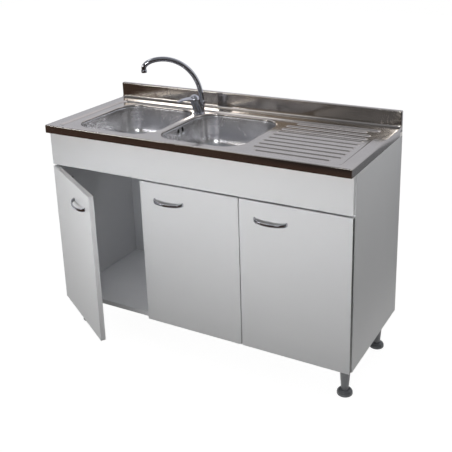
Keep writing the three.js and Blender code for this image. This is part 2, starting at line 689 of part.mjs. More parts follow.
// The leaning barrel with its ball top, in the frame of its own axis.
function tapBarrel() {
  const dome = [];
  for (let step = 0; step <= 5; step++) {
    const angle = (step * Math.PI) / 10;
    dome.push([HEAD_BALL_RADIUS * Math.cos(angle), TAP_BODY_LENGTH + HEAD_BALL_RADIUS * Math.sin(angle)]);
  }
  dome[5][0] = 0;
  return turned([[0, 0], [TAP_BODY_RADIUS, 0], ...dome]);
}

// Foot, leaning barrel and the rear socket that carries the spout, as one casting.
function tapBody() {
  const foot = cylinder(TAP_BODY_RADIUS + SHEET, 0, TAP_FLANGE_HEIGHT * 2);
  const below = slab([-WIDTH, -WIDTH, -WIDTH], [WIDTH, WIDTH, 0]);
  const socketTop = HEIGHT + SPOUT_SOCKET_RISE - TAP_SEAT_Z;
  const socket = cylinder(SOCKET_RADIUS, SEAT, socketTop).translate(0, SPOUT_BACKSET, 0);
  const reach = [0, SPOUT_BACKSET / 2, SPOUT_BACKSET];
  const path = reach.map((y) => new THREE.Vector3(0, y, socketTop / 2));
  const arm = bar(path, AXIS_X, () => [2 * SOCKET_RADIUS - SHEET, socketTop - SHEET]);
  const barrel = tapBarrel().rotateX(TAP_LEAN);
  const stemHole = cylinder(STEM_RADIUS + RUNNING, TAP_BODY_LENGTH, TAP_BODY_LENGTH + 2 * HEAD_BALL_RADIUS);
  const made = join(foot, barrel, arm, socket).subtract(solid(below));
  return shaped(made.subtract(solid(stemHole.rotateX(TAP_LEAN))));
}

// The cartridge's stem, which turns in the ball top and carries the lever.
function cartridgeStem() {
  return cylinder(STEM_RADIUS, TAP_BODY_LENGTH + SEAT, TAP_BODY_LENGTH + HEAD_BALL_RADIUS - SEAT, FINE_STEPS);
}

// Cap over the ball top with the blade that the hand moves. Local -Y is the blade's direction.
function lever() {
  const inner = HEAD_BALL_RADIUS + HEAD_RUNNING_GAP;
  const outer = inner + HEAD_WALL;
  const start = THREE.MathUtils.degToRad(HEAD_RIM_DEG);
  const arc = (radius, from, to) =>
    Array.from({ length: 6 }, (_, i) => {
      const angle = from + ((to - from) * i) / 5;
      const pole = Math.abs(angle - Math.PI / 2) < 1e-6;
      return [pole ? 0 : radius * Math.cos(angle), radius * Math.sin(angle)];
    });
  const cap = turned([...arc(outer, start, Math.PI / 2), ...arc(inner, Math.PI / 2, start)]);
  const rise = THREE.MathUtils.degToRad(LEVER_RISE_DEG);
  const root = outer * Math.sin(Math.PI / 4);
  const path = Array.from({ length: 7 }, (_, i) => {
    const share = i / 6;
    const y = -(root + (LEVER_LENGTH - root) * share);
    const z = root + (LEVER_LENGTH - root) * share * Math.tan(rise) + LEVER_CROWN * Math.sin(Math.PI * share);
    return new THREE.Vector3(0, y + (i ? 0 : HEAD_WALL), z);
  });
  const sizes = (share) => [
    LEVER_ROOT_WIDTH + (LEVER_TIP_WIDTH - LEVER_ROOT_WIDTH) * share,
    LEVER_THICKNESS * (1 - share / 2),
  ];
  const blade = solid(bar(path, AXIS_X, sizes));
  const ball = new THREE.SphereGeometry(inner, FINE_STEPS, FINE_STEPS / 2);
  return shaped(solid(cap).add(blade.subtract(solid(ball))));
}

// Upright out of the nut, a quarter ellipse up to the crown, another down to the outlet.
function spoutCurve() {
  const base = HEIGHT + SPOUT_SOCKET_RISE + SEAT;
  const straight = base + SPOUT_NUT_HEIGHT + SPOUT_STRAIGHT;
  const crown = HEIGHT + SPOUT_RISE;
  const outlet = HEIGHT + SPOUT_OUTLET_RISE + AERATOR_LENGTH;
  const rise = crown - straight;
  const drop = crown - outlet - SPOUT_STRAIGHT;
  const crownAt = SPOUT_CROWN_SHARE * SPOUT_REACH;
  const points = [[0, base], [0, (base + straight) / 2], [0, straight]];
  for (const share of [0.2, 0.4, 0.6, 0.8, 1]) {
    const angle = (share * Math.PI) / 2;
    points.push([crownAt * (1 - Math.cos(angle)), straight + rise * Math.sin(angle)]);
  }
  for (const share of [0.35, 0.7, 1]) {
    const angle = (share * Math.PI) / 2;
    points.push([crownAt + (SPOUT_REACH - crownAt) * Math.sin(angle), crown - drop * (1 - Math.cos(angle))]);
  }
  points.push([SPOUT_REACH, outlet]);
  return new THREE.CatmullRomCurve3(points.map(([reach, z]) => new THREE.Vector3(0, -reach, z)));
}

function spout() {
  const circle = new THREE.Shape(roundedOutline(SPOUT_RADIUS, SPOUT_RADIUS, SPOUT_RADIUS).filter((_, i) => i % 2));
  return new THREE.ExtrudeGeometry(circle, { steps: 30, extrudePath: spoutCurve() });
}

function spoutNut() {
  const low = HEIGHT + SPOUT_SOCKET_RISE + SEAT;
  const high = low + SPOUT_NUT_HEIGHT;
  const bore = SPOUT_RADIUS + SEAT;
  return turned([
    [bore, low], [SPOUT_NUT_RADIUS - 3, low], [SPOUT_NUT_RADIUS, low + SPOUT_NUT_HEIGHT / 3],
    [SPOUT_NUT_RADIUS, high - 4], [SPOUT_NUT_RADIUS - 3, high], [bore, high],
  ]);
}

function aerator() {
  const high = HEIGHT + SPOUT_OUTLET_RISE + AERATOR_LENGTH - SEAT;
  const low = high - AERATOR_LENGTH;
  return turned([
    [AERATOR_BORE, low], [AERATOR_RADIUS, low], [AERATOR_RADIUS, high - 3],
    [AERATOR_RADIUS - 2, high], [0, high], [0, low + 4], [AERATOR_BORE, low + 4],
  ]);
}

function tapWasher() {
  const high = FIELD_Z - SHEET - SEAT;
  const low = high - TAP_WASHER_HEIGHT;
  const bore = TAP_SHANK_RADIUS + SEAT;
  return turned([[bore, low], [TAP_WASHER_RADIUS, low], [TAP_WASHER_RADIUS, high], [bore, high]]);
}

function tapNut() {
  const high = FIELD_Z - SHEET - 2 * SEAT - TAP_WASHER_HEIGHT;
  const hexagon = cylinder(TAP_NUT_RADIUS, high - TAP_NUT_HEIGHT, high, 6);
  const bore = cylinder(TAP_SHANK_RADIUS + SEAT, high - 2 * TAP_NUT_HEIGHT, high + TAP_NUT_HEIGHT);
  return shaped(solid(hexagon).subtract(solid(bore)));
}

// Threaded shank with the two bores that the water inlets screw into.
function tapShank() {
  const high = TAP_SEAT_Z - SEAT;
  const low = FIELD_Z - TAP_SHANK_LENGTH;
  const inlet = STEM_RADIUS;
  let made = solid(cylinder(TAP_SHANK_RADIUS, low, high));
  for (const side of [-1, 1]) {
    const bore = cylinder(inlet - SHEET, low - inlet, low + 3 * inlet, FINE_STEPS);
    made = made.subtract(solid(bore.translate((side * TAP_SHANK_RADIUS) / 2, 0, 0)));
  }
  return shaped(made);
}

function addTap() {
  const tap = new THREE.Group();
  tap.position.set(TAP_X, TAP_Y, 0);
  unit.add(tap);
  place("tap_flange", tapFlange(), FINISH.chrome, tap);
  place("tap_shank", tapShank(), FINISH.waste, tap);
  place("tap_washer", tapWasher(), FINISH.hinge, tap);
  place("tap_nut", tapNut(), FINISH.hinge, tap);
  place("tap_body", tapBody(), FINISH.chrome, tap).position.z = TAP_SEAT_Z;

  const barrelAxis = new THREE.Group();
  barrelAxis.position.z = TAP_SEAT_Z;
  barrelAxis.rotation.x = TAP_LEAN;
  tap.add(barrelAxis);
  place("cartridge_stem", cartridgeStem(), FINISH.hinge, barrelAxis);
  const handle = place("tap_lever", lever(), FINISH.chrome, barrelAxis);
  handle.position.z = TAP_BODY_LENGTH + SEAT;
  handle.rotation.z = -THREE.MathUtils.degToRad(LEVER_SWING_DEG);

  const swivel = new THREE.Group();
  swivel.position.y = SPOUT_BACKSET;
  swivel.rotation.z = -THREE.MathUtils.degToRad(SPOUT_SWING_DEG);
  tap.add(swivel);
  place("spout", spout(), FINISH.chrome, swivel);
  place("spout_nut", spoutNut(), FINISH.chrome, swivel);
  place("aerator", aerator(), FINISH.chrome, swivel).position.y = -SPOUT_REACH;
}

// ---------- cabinet ----------

const INNER_LEFT = PANEL + SEAT;
const INNER_RIGHT = WIDTH - PANEL - SEAT;
const RAIL_FRONT = CARCASS_BACK - PANEL;
const BACK_FRONT = RAIL_FRONT - BACK_PANEL - SEAT;
const CARCASS_SEAT = CARCASS_TOP - SEAT;
const BATTEN_TOP = FIELD_Z - SHEET - SEAT;
const BATTEN_LOW = CARCASS_TOP;

function addCabinet() {
  const side = (x) => slab([x, CARCASS_FRONT, LEG_HEIGHT], [x + PANEL, CARCASS_BACK, CARCASS_SEAT]);
  place("left_side_panel", side(0), FINISH.laminate);
  place("right_side_panel", side(WIDTH - PANEL), FINISH.laminate);
  place("base_panel", slab(
    [INNER_LEFT, CARCASS_FRONT, LEG_HEIGHT], [INNER_RIGHT, CARCASS_BACK, BASE_TOP],
  ), FINISH.board);
  place("partition_panel", slab(
    [PARTITION_X - PANEL / 2, CARCASS_FRONT, BASE_TOP + SEAT],
    [PARTITION_X + PANEL / 2, BACK_FRONT - SEAT, CARCASS_SEAT],
  ), FINISH.board);
  place("back_panel", slab(
    [INNER_LEFT, BACK_FRONT, BASE_TOP + SEAT], [INNER_RIGHT, BACK_FRONT + BACK_PANEL, BACK_PANEL_TOP],
  ), FINISH.board);
  place("rear_rail", slab(
    [INNER_LEFT, RAIL_FRONT, CARCASS_TOP - REAR_RAIL_HEIGHT], [INNER_RIGHT, CARCASS_BACK, CARCASS_SEAT],
  ), FINISH.board);
  const fasciaBack = CARCASS_FRONT - SEAT;
  place("fascia_panel", board(
    [FACE_END_INSET, fasciaBack - PANEL, FASCIA_BOTTOM],
    [WIDTH - FACE_END_INSET, fasciaBack, CARCASS_SEAT],
  ), FINISH.laminate);
}

// Wooden battens inside the rim, which stiffen the top and rest on the cabinet.
function addBattens() {
  const near = SHEET + SEAT;
  const frontInner = FIELD_FRONT_BORDER + FIELD_SLOPE;
  const rearFront = FIELD_REAR_EDGE + SEAT;
  const rearBack = DEPTH - UPSTAND_THICKNESS;
  const strip = (low, high) => slab([low[0], low[1], BATTEN_LOW], [high[0], high[1], BATTEN_TOP]);
  place("front_batten", strip([near, near], [WIDTH - near, frontInner]), FINISH.batten);
  place("rear_batten", strip([near, rearFront], [WIDTH - near, rearBack]), FINISH.batten);
}

// ---------- doors ----------

// Door panel in the frame of its hinge axis. "hand" is +1 where the door runs to +X from its hinge.
function doorPanel(hand, width) {
  const ends = [-PIVOT_INSET * hand, (width - PIVOT_INSET) * hand].sort((a, b) => a - b);
  const panel = board([ends[0], 0, DOOR_BOTTOM], [ends[1], PANEL, DOOR_TOP]);
  let made = solid(panel);
  for (const z of HINGE_HEIGHTS) {
    const radius = CUP_RADIUS + RUNNING;
    const bore = cylinder(radius, -CUP_DEPTH - SEAT, CUP_DEPTH, FINE_STEPS).rotateX(-Math.PI / 2);
    made = made.subtract(solid(bore.translate(hand * (CUP_EDGE_DISTANCE - PIVOT_INSET), PANEL, z)));
  }
  return shaped(made);
}

// Hinge cup with its flange, its mouth at the door's rear face.
function hingeCup() {
  const inner = CUP_RADIUS - CUP_WALL;
  const rim = CUP_RADIUS + 1;
  const top = SEAT + CUP_FLANGE_THICKNESS;
  const cup = turned([
    [0, -CUP_DEPTH], [CUP_RADIUS, -CUP_DEPTH], [CUP_RADIUS, SEAT], [rim, SEAT], [rim, top],
    [inner, top], [inner, CUP_WALL - CUP_DEPTH], [0, CUP_WALL - CUP_DEPTH],
  ], FINE_STEPS);
  const outline = roundedOutline(CUP_FLANGE_WIDTH / 2, CUP_FLANGE_LENGTH / 2, CUP_FLANGE_WIDTH / 2);
  const ears = solid(raised(new THREE.Shape(outline), SEAT, top));
  const mouth = solid(cylinder(inner + CUP_WALL / 2, -CUP_DEPTH, CUP_DEPTH, FINE_STEPS));
  return shaped(solid(cup).add(ears.subtract(mouth))).rotateX(-Math.PI / 2);
}

// Bow handle along X, its feet cut flat at y = 0.
function bowHandle() {
  const path = Array.from({ length: 13 }, (_, i) => {
    const angle = Math.PI * (i / 12 - 0.5);
    return new THREE.Vector3((HANDLE_SPAN / 2) * Math.sin(angle), -HANDLE_BOW * Math.cos(angle), 0);
  });
  path.unshift(path[0].clone().setY(HANDLE_THICKNESS));
  path.push(path.at(-1).clone().setY(HANDLE_THICKNESS));
  const sizes = (share) => {
    const middle = Math.sin(Math.PI * share);
    return [HANDLE_END_HEIGHT + (HANDLE_HEIGHT - HANDLE_END_HEIGHT) * middle, HANDLE_THICKNESS];
  };
  const door = slab([-HANDLE_SPAN, 0, -HANDLE_SPAN], [HANDLE_SPAN, HANDLE_SPAN, HANDLE_SPAN]);
  return shaped(solid(bar(path, AXIS_Z, sizes)).subtract(solid(door)));
}

// Hinge arm with its plate on a cabinet panel; "noseOut" is the cup's centre off the panel's face.
function hingeArm(noseOut) {
  const near = SEAT + HINGE_PLATE_THICKNESS;
  const half = ARM_NOSE / 2;
  const outline = [
    [near - SEAT, ARM_LENGTH], [near - SEAT, ARM_NOSE * 2], [noseOut - half, half],
    [noseOut - half, -ARM_REACH], [noseOut + half, -ARM_REACH], [noseOut + half, half],
    [Math.max(ARM_DEPTH, noseOut + half), ARM_NOSE * 2], [ARM_DEPTH, ARM_LENGTH],
  ];
  const shape = new THREE.Shape(outline.map(([out, back]) => new THREE.Vector2(out, back)));
  const arm = raised(shape, -ARM_WIDTH / 2, ARM_WIDTH / 2);
  const halfHeight = HINGE_PLATE_HEIGHT / 2;
  const plate = slab(
    [SEAT, HINGE_PLATE_SETBACK, -halfHeight],
    [near, HINGE_PLATE_SETBACK + HINGE_PLATE_LENGTH, halfHeight],
  );
  return join(arm, plate);
}

function addDoor(name, hand, { width, hingeX, panelFace, openDeg = 0 }) {
  const door = new THREE.Group();
  door.position.set(hingeX, FRONT_SETBACK, 0);
  door.rotation.z = -hand * THREE.MathUtils.degToRad(openDeg);
  unit.add(door);
  place(`${name}_door`, doorPanel(hand, width), FINISH.laminate, door);
  const handle = place(`${name}_handle`, bowHandle(), FINISH.chrome, door);
  const handleX = hand * (width - PIVOT_INSET - HANDLE_FREE_EDGE[name]);
  handle.position.set(handleX, -SEAT, DOOR_TOP - HANDLE_DROP);
  const cupX = hand * (CUP_EDGE_DISTANCE - PIVOT_INSET);
  const noseOut = hand * (hingeX + cupX - panelFace);
  ["lower", "upper"].forEach((level, i) => {
    const z = HINGE_HEIGHTS[i];
    place(`${name}_${level}_hinge_cup`, hingeCup(), FINISH.hinge, door).position.set(cupX, PANEL, z);
    const arm = shaped(hingeArm(noseOut));
    if (hand < 0) arm.rotateY(Math.PI);
    place(`${name}_${level}_hinge_arm`, arm, FINISH.hinge).position.set(panelFace, CARCASS_FRONT, z);
  });
}

// ---------- legs ----------

function legSocket() {
  const high = LEG_HEIGHT - SEAT;
  const low = high - SOCKET_THICKNESS;
  const half = SOCKET_PLATE / 2;
  const plate = raised(new THREE.Shape(roundedOutline(half, half, half / 4)), low, high);
  const spigot = cylinder(SOCKET_SPIGOT_RADIUS, low - SOCKET_SPIGOT_HEIGHT, low + SEAT);
  return shaped(join(plate, spigot));
}

// Tapered tube with a flared top; the foot's stem runs in its bore.
function leg() {
  const top = LEG_HEIGHT - 2 * SEAT - SOCKET_THICKNESS;
  const ankle = FOOT_HEIGHT + SEAT;
  const shoulder = top - SOCKET_SPIGOT_HEIGHT - SEAT;
  const mouth = SOCKET_SPIGOT_RADIUS + SEAT;
  return turned([
    [LEG_BORE_RADIUS, ankle], [LEG_ANKLE_RADIUS, ankle], [LEG_TOP_RADIUS, top - 2 * LEG_FLARE],
    [LEG_TOP_RADIUS + LEG_FLARE, top - LEG_FLARE / 2], [LEG_TOP_RADIUS + LEG_FLARE, top],
    [mouth, top], [mouth, shoulder], [LEG_BORE_RADIUS, shoulder],
  ], FINE_STEPS);
}

// Domed foot with its screw stem.
function foot() {
  const stemTop = FOOT_HEIGHT + FOOT_STEM_LENGTH;
  const dome = [0, 0.25, 0.5, 0.75, 1].map((share) => {
    const angle = (share * Math.PI) / 2;
    const low = FOOT_HEIGHT / 3;
    const reach = FOOT_RADIUS - LEG_ANKLE_RADIUS;
    return [
      LEG_ANKLE_RADIUS + reach * Math.cos(angle), low + (FOOT_HEIGHT - low) * Math.sin(angle),
    ];
  });
  return turned([
    [0, 0], [FOOT_RADIUS - 2, 0], [FOOT_RADIUS, 2], ...dome,
    [FOOT_STEM_RADIUS, FOOT_HEIGHT], [FOOT_STEM_RADIUS, stemTop], [0, stemTop],
  ], FINE_STEPS);
}

function addLegs() {
  for (const [place_name, [x, y]] of Object.entries(LEG_PLACES)) {
    const pieces = { leg_socket: legSocket(), leg: leg(), foot: foot() };
    for (const [piece, geometry] of Object.entries(pieces)) {
      const material = piece === "foot" ? FINISH.foot : FINISH.leg;
      place(`${place_name}_${piece}`, geometry, material).position.set(x, y, 0);
    }
  }
}

// ---------- assembly ----------

place("sink_top", sinkTop(), FINISH.steel);
place("left_bowl", bowlShell(LEFT_BOWL_X), FINISH.steel);
place("right_bowl", rightBowl(), FINISH.steel);
place("overflow_housing", overflowHousing(), FINISH.plastic);
for (const [name, x] of [["left", LEFT_BOWL_X], ["right", RIGHT_BOWL_X]]) {
  const pieces = { waste_body: wasteBody(), waste_nut: wasteNut(), strainer: strainer() };
  for (const [piece, geometry] of Object.entries(pieces)) {
    place(`${name}_${piece}`, geometry, FINISH.waste).position.set(x, BOWL_CENTRE_Y, 0);
  }
}
addTap();
addCabinet();
addBattens();
const firstHinge = FACE_END_INSET + PIVOT_INSET;
const partitionFace = PARTITION_X - PANEL / 2;
addDoor("left", 1, { width: PAIR_WIDTH, hingeX: firstHinge, panelFace: PANEL, openDeg: OPEN_DEG });
addDoor("middle", -1, { width: PAIR_WIDTH, hingeX: PAIR_END - PIVOT_INSET, panelFace: partitionFace });
addDoor("right", -1, { width: SINGLE_WIDTH, hingeX: WIDTH - firstHinge, panelFace: WIDTH - PANEL });
addLegs();

const outerBox = new THREE.Box3().setFromObject(unit, true);
const middle = outerBox.getCenter(new THREE.Vector3());
unit.position.set(-middle.x, -middle.y, -outerBox.min.z);

export default unit;
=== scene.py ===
# %% [markdown]
# # A kitchen sink unit in stainless steel and white melamine
#
# The unit's solids are already made: a folded and pressed steel top, two bowls, a lever tap and a
# cabinet on four legs, with every joint in its place. This file gives them their looks.
# Sheet metal, chrome and moulded plastic live from their curvature, and a faceted solid shows its
# facets in every reflection. So those pieces are made again as smooth surfaces, worked out with
# numpy from the sizes of the real pieces. Flat boards stay as they are and only get a finish.

import json
import math

import bmesh
import bpy
import numpy as np
from mathutils import Matrix, Vector


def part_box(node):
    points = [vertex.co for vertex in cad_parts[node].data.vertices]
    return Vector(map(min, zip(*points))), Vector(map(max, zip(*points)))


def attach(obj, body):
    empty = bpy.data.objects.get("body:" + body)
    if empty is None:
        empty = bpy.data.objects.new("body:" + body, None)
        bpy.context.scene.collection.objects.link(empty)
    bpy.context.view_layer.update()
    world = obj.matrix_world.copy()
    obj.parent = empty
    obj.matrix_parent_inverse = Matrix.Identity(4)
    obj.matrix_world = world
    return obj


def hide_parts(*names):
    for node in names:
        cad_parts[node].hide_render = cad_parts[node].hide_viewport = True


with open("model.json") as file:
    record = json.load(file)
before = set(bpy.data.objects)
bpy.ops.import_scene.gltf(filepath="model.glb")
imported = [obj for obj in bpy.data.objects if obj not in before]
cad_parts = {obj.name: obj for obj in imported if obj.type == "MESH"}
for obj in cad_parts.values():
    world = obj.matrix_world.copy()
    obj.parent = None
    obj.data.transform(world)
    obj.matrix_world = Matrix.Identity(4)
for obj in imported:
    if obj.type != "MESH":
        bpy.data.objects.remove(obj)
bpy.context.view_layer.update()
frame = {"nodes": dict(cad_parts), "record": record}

# %% [markdown]
# ## Millimetres from the top's front left corner
#
# A kitchen fitter measures this unit from the front left corner of its top and from the floor.
# All sizes below are in those millimetres. One function moves them into the frame of the solids.

# %% The corner frame
MM = 0.001
steel_low, steel_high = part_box("sink_top")
CORNER = np.array([steel_low.x, steel_low.y, 0.0])
WIDTH, DEPTH = (np.array(steel_high - steel_low) / MM)[:2]
HEIGHT = 850.0


def metres(points):
    """Millimetres from the corner, times a thousandth, plus the corner's own place."""
    return np.asarray(points, float) * MM + CORNER


print("top:", round(WIDTH), "x", round(DEPTH), "mm, front left corner at", CORNER.round(4))

# %% [markdown]
# ## From arrays to meshes
#
# Every new piece is a grid of points: its rows follow one parameter and its columns another.
# Four neighbouring points make a face. Where a grid closes on itself, its last column joins its
# first. Points that fall together, at a pole or a seam, are merged.


# %% Grids
def joined(*coordinates):
    """Points from their coordinates, each an array, or one number for all the points."""
    return np.stack(np.broadcast_arrays(*coordinates), -1)


def grid(points, wrap=False):
    """A grid of points, (rows, columns, 3), as a part: the points in one list, and for each cell
    the numbers of its corners (r, c), (r, c+1), (r+1, c+1), (r+1, c), row by row."""
    rows, columns = points.shape[:2]
    width = columns if wrap else columns - 1
    row, column = np.meshgrid(np.arange(rows - 1), np.arange(width), indexing="ij")
    beside = (column + 1) % columns
    near, far = row * columns, (row + 1) * columns
    corners = np.stack([near + column, near + beside, far + beside, far + column], -1)
    return points.reshape(-1, 3), corners.reshape(-1, 4)


# %% [markdown]
# A piece is one mesh from one or more grids. It stands for one or more of the solids, so it rides
# on the same body as they do, and it takes the finish it is given.

# %% Pieces
record = frame["record"]
BODY_OF = {node: body for body, own in record["behaviour"]["bodies"].items() for node in own}
SLOT_OF = {entry["node"]: entry["material_slot"] for entry in record["subparts"]}


def into_scene(name, data):
    """A new object with this mesh, camera or lamp, in the scene."""
    made = bpy.data.objects.new(name, data)
    bpy.context.scene.collection.objects.link(made)
    return made


def closed_up(mesh, open_sheet):
    """Merges points closer than a micrometre and turns all faces outwards. An open sheet is turned
    so that its faces look up on average: the sum of height component times area is positive."""
    work = bmesh.new()
    work.from_mesh(mesh)
    bmesh.ops.remove_doubles(work, verts=work.verts, dist=1e-6)
    bmesh.ops.dissolve_degenerate(work, edges=work.edges, dist=1e-7)
    bmesh.ops.recalc_face_normals(work, faces=work.faces)
    if open_sheet and sum(face.normal.z * face.calc_area() for face in work.faces) < 0:
        bmesh.ops.reverse_faces(work, faces=work.faces)
    work.to_mesh(mesh)
    work.free()


def piece(name, parts, nodes, material, open_sheet=False, crease=35):
    """One object from parts in millimetres, in place of the named solids."""
    points = np.concatenate([part[0] for part in parts])
    starts = np.cumsum([0] + [len(part[0]) for part in parts[:-1]])
    cells = np.concatenate([part[1] + start for part, start in zip(parts, starts)])
    mesh = bpy.data.meshes.new(name)
    mesh.from_pydata(metres(points).tolist(), [], cells.tolist())
    closed_up(mesh, open_sheet)
    mesh.shade_smooth()
    mesh.set_sharp_from_angle(angle=math.radians(crease))
    mesh.materials.append(material)
    made = into_scene(name, mesh)
    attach(made, BODY_OF[nodes[0]])
    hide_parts(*nodes)
    print(f"{name}: {len(mesh.polygons)} faces, rides on {BODY_OF[nodes[0]]}")
    return made


# %% [markdown]
# ## Finishes
#
# A finish starts from what the real surface is and how it was made. Colours are written as on a
# paint card, in sRGB hex, and one function turns them into the linear values that the renderer
# adds and multiplies. A second function adds one node with its settings and its links.


# %% Colours and nodes
def linear(code):
    """sRGB hex to linear: below 0.04045 divide by 12.92, above it the 2.4 power curve."""
    value = np.array([int(code[i : i + 2], 16) for i in (1, 3, 5)]) / 255
    low, high = value / 12.92, ((value + 0.055) / 1.055) ** 2.4
    return (*np.where(value <= 0.04045, low, high).tolist(), 1.0)


def add(tree, kind, settings=None, **inputs):
    """A shader node of that kind. Settings are its own properties, or the stops of a colour ramp.
    Inputs are values, sockets to link, or nodes, whose first output is linked. An input's name has
    _ for each space, and i0 is the first socket."""
    node = tree.nodes.new("ShaderNode" + kind)
    settings = dict(settings or {})
    stops = settings.pop("stops", [])
    for name, value in settings.items():
        setattr(node, name, value)
    for _ in stops[2:]:
        node.color_ramp.elements.new(0.5)
    for number, (place, code) in enumerate(stops):
        node.color_ramp.elements[number].position = place
        node.color_ramp.elements[number].color = linear(code)
    for name, value in inputs.items():
        key = int(name[1:]) if name[0] == "i" and name[1:].isdigit() else name.replace("_", " ")
        if isinstance(value, bpy.types.Node):
            value = value.outputs[0]
        if isinstance(value, bpy.types.NodeSocket):
            tree.links.new(value, node.inputs[key])
        else:
            node.inputs[key].default_value = value
    return node


def empty_material(name):
    material = bpy.data.materials.new(name)
    material.use_nodes = True
    material.node_tree.nodes.clear()
    return material, material.node_tree


# %% [markdown]
# ### Metals
#
# The top is rolled stainless steel: rolling and polishing leave fine scratches along its length.
# The bowls are drawn and then satin polished all round, which leaves an even blur. The tap and the
# handles are chrome over polished brass, nearly a mirror. The hinges are nickel-plated stampings.
# All carry faint smears from wiping: they change the colour a little and the blur more.
# The real scratches are some 0.05 mm wide, too fine to show, so they are drawn about 1 mm wide on
# the top and 4 mm wide in the bowls. "Marks" below counts them per metre along each axis.


# %% Metal finishes
def metal(name, hues, blur, marks, depth, smear=9.0):
    """Smears are a soft noise of that many per metre, marks a noise stretched along the work.
    Roughness is the marks' value spread over the blur's range, and more where a smear lies."""
    material, tree = empty_material(name)
    place = add(tree, "TexCoord").outputs["Object"]
    cloud = add(tree, "TexNoise", Vector=place, Scale=smear, Detail=4.0, Distortion=0.6)
    hue = add(tree, "ValToRGB", {"stops": [(0.35, hues[0]), (0.65, hues[1])]}, Fac=cloud)
    worked = add(tree, "Mapping", Vector=place, Scale=marks)
    lines = add(tree, "TexNoise", Vector=worked, Scale=1.0, Detail=4.0, Roughness=0.65)
    spread = {"From_Min": 0.3, "From_Max": 0.7, "To_Min": blur[0], "To_Max": blur[1]}
    rough = add(tree, "MapRange", Value=lines, **spread)
    film = add(tree, "MapRange", Value=cloud, From_Min=0.45, From_Max=0.7, To_Max=blur[2])
    total = add(tree, "Math", {"operation": "ADD"}, i0=rough, i1=film)
    relief = add(tree, "Bump", Height=lines, Distance=depth)
    shader = add(
        tree, "BsdfPrincipled", Base_Color=hue, Metallic=1.0, Roughness=total, Normal=relief
    )
    add(tree, "OutputMaterial", Surface=shader)
    return material


TOP_STEEL = metal(
    "stainless_steel_rolled_sheet", ("#bcb7b2", "#c2bdb8"),
    (0.12, 0.16, 0.03), (6, 700, 700), 4e-7,
)
BOWL_STEEL = metal(
    "stainless_steel_satin_drawn", ("#cfcfd1", "#d2d2d4"),
    (0.24, 0.27, 0.02), (260, 260, 260), 3e-6,
)
WASTE_STEEL = metal(
    "stainless_steel_polished_pressing", ("#b9b9b9", "#c6c6c6"),
    (0.1, 0.17, 0.05), (300, 300, 300), 4e-6,
)
CHROME = metal(
    "brass_chrome_plated_polished", ("#b2b3b9", "#bcbdc3"),
    (0.02, 0.05, 0.03), (40, 40, 40), 0.0, 30.0,
)
NICKEL = metal(
    "steel_nickel_plated_stamped", ("#a8a9a8", "#b8b9b7"),
    (0.24, 0.36, 0.08), (600, 600, 600), 2e-5, 60.0,
)
print("metals:", [made.name for made in (TOP_STEEL, BOWL_STEEL, WASTE_STEEL, CHROME, NICKEL)])

# %% [markdown]
# ### Boards and plastics
#
# The cabinet is chipboard under white melamine: paper and resin, pressed against a plate with a
# fine pearl texture, which breaks up its gloss. Inside, the same board has a duller pearl white.
# On the right door, the faces that look right are painted dark: painted shade for the shadowed
# gap at its hinge side. The legs are moulded plastic with an eroded grain, drawn here 2 mm wide,
# since the real 0.3 mm would not show.


# %% Board and plastic finishes
def coated(name, hues, cloud_size, grain_size, blur, depth, edge=None):
    """A non-metal: a broad noise carries the colour, a fine one the blur and the relief. Sizes are
    in metres, and a noise has one cell for each of them. Given an edge colour, the faces that look
    right take it: painted shade, for an edge that stands in the shadow of a gap. Their share is 1
    where the normal's X is above 0.9. The Mix node's sixth and seventh inputs and its second output
    are the colours."""
    material, tree = empty_material(name)
    place = add(tree, "TexCoord").outputs["Object"]
    cloud, grain = (
        add(tree, "TexNoise", Vector=place, Scale=1 / size, Detail=3.0)
        for size in (cloud_size, grain_size)
    )
    hue = add(tree, "ValToRGB", {"stops": [(0.3, hues[0]), (0.7, hues[1])]}, Fac=cloud)
    # Painted shade: faces that look right take the dark edge colour, in place of a gap's shadow.
    if edge:
        facing = add(tree, "TexCoord").outputs["Normal"]
        right = add(tree, "SeparateXYZ", Vector=facing).outputs["X"]
        shade_share = add(tree, "Math", {"operation": "GREATER_THAN"}, i0=right, i1=0.9)
        hue = add(tree, "Mix", {"data_type": "RGBA"}, i0=shade_share, i6=hue, i7=linear(edge)).outputs[2]
    spread = {"From_Min": 0.3, "From_Max": 0.7, "To_Min": blur[0], "To_Max": blur[1]}
    rough = add(tree, "MapRange", Value=grain, **spread)
    relief = add(tree, "Bump", Height=grain, Distance=depth)
    shader = add(tree, "BsdfPrincipled", Base_Color=hue, Roughness=rough, Normal=relief)
    add(tree, "OutputMaterial", Surface=shader)
    return material


WHITE = ("#dfe0e2", "#e2e3e5")
MELAMINE = coated("chipboard_melamine_faced_white", WHITE, 0.4, 0.0015, (0.34, 0.42), 8e-6)
# For the right door: its right-facing edge is painted dark, as painted shade for the gap beside the
# side panel.
PAINTED_SHADE_EDGE = coated(
    "chipboard_melamine_painted_shade_edge", WHITE, 0.4, 0.0015, (0.34, 0.42), 8e-6, edge="#2b2726"
)
INNER_BOARD = coated(
    "chipboard_melamine_faced_pearl_white", ("#e8e9ec", "#ebecef"), 0.3, 0.0015, (0.44, 0.54), 1e-5
)
HARDBOARD = coated(
    "hardboard_painted_back", ("#d8dade", "#dee0e3"), 0.15, 0.003, (0.5, 0.62), 3e-5
)
LEG_PLASTIC = coated(
    "abs_moulded_silver_grey", ("#84868a", "#8e9094"), 0.05, 0.002, (0.28, 0.38), 1.5e-5
)
FOOT_PLASTIC = coated(
    "abs_moulded_dark_grey", ("#6c6f73", "#7a7d81"), 0.04, 0.002, (0.14, 0.24), 1.5e-5
)
HOUSING_PLASTIC = coated(
    "polypropylene_moulded_black", ("#141414", "#1c1c1c"), 0.03, 0.002, (0.4, 0.5), 1.5e-5
)
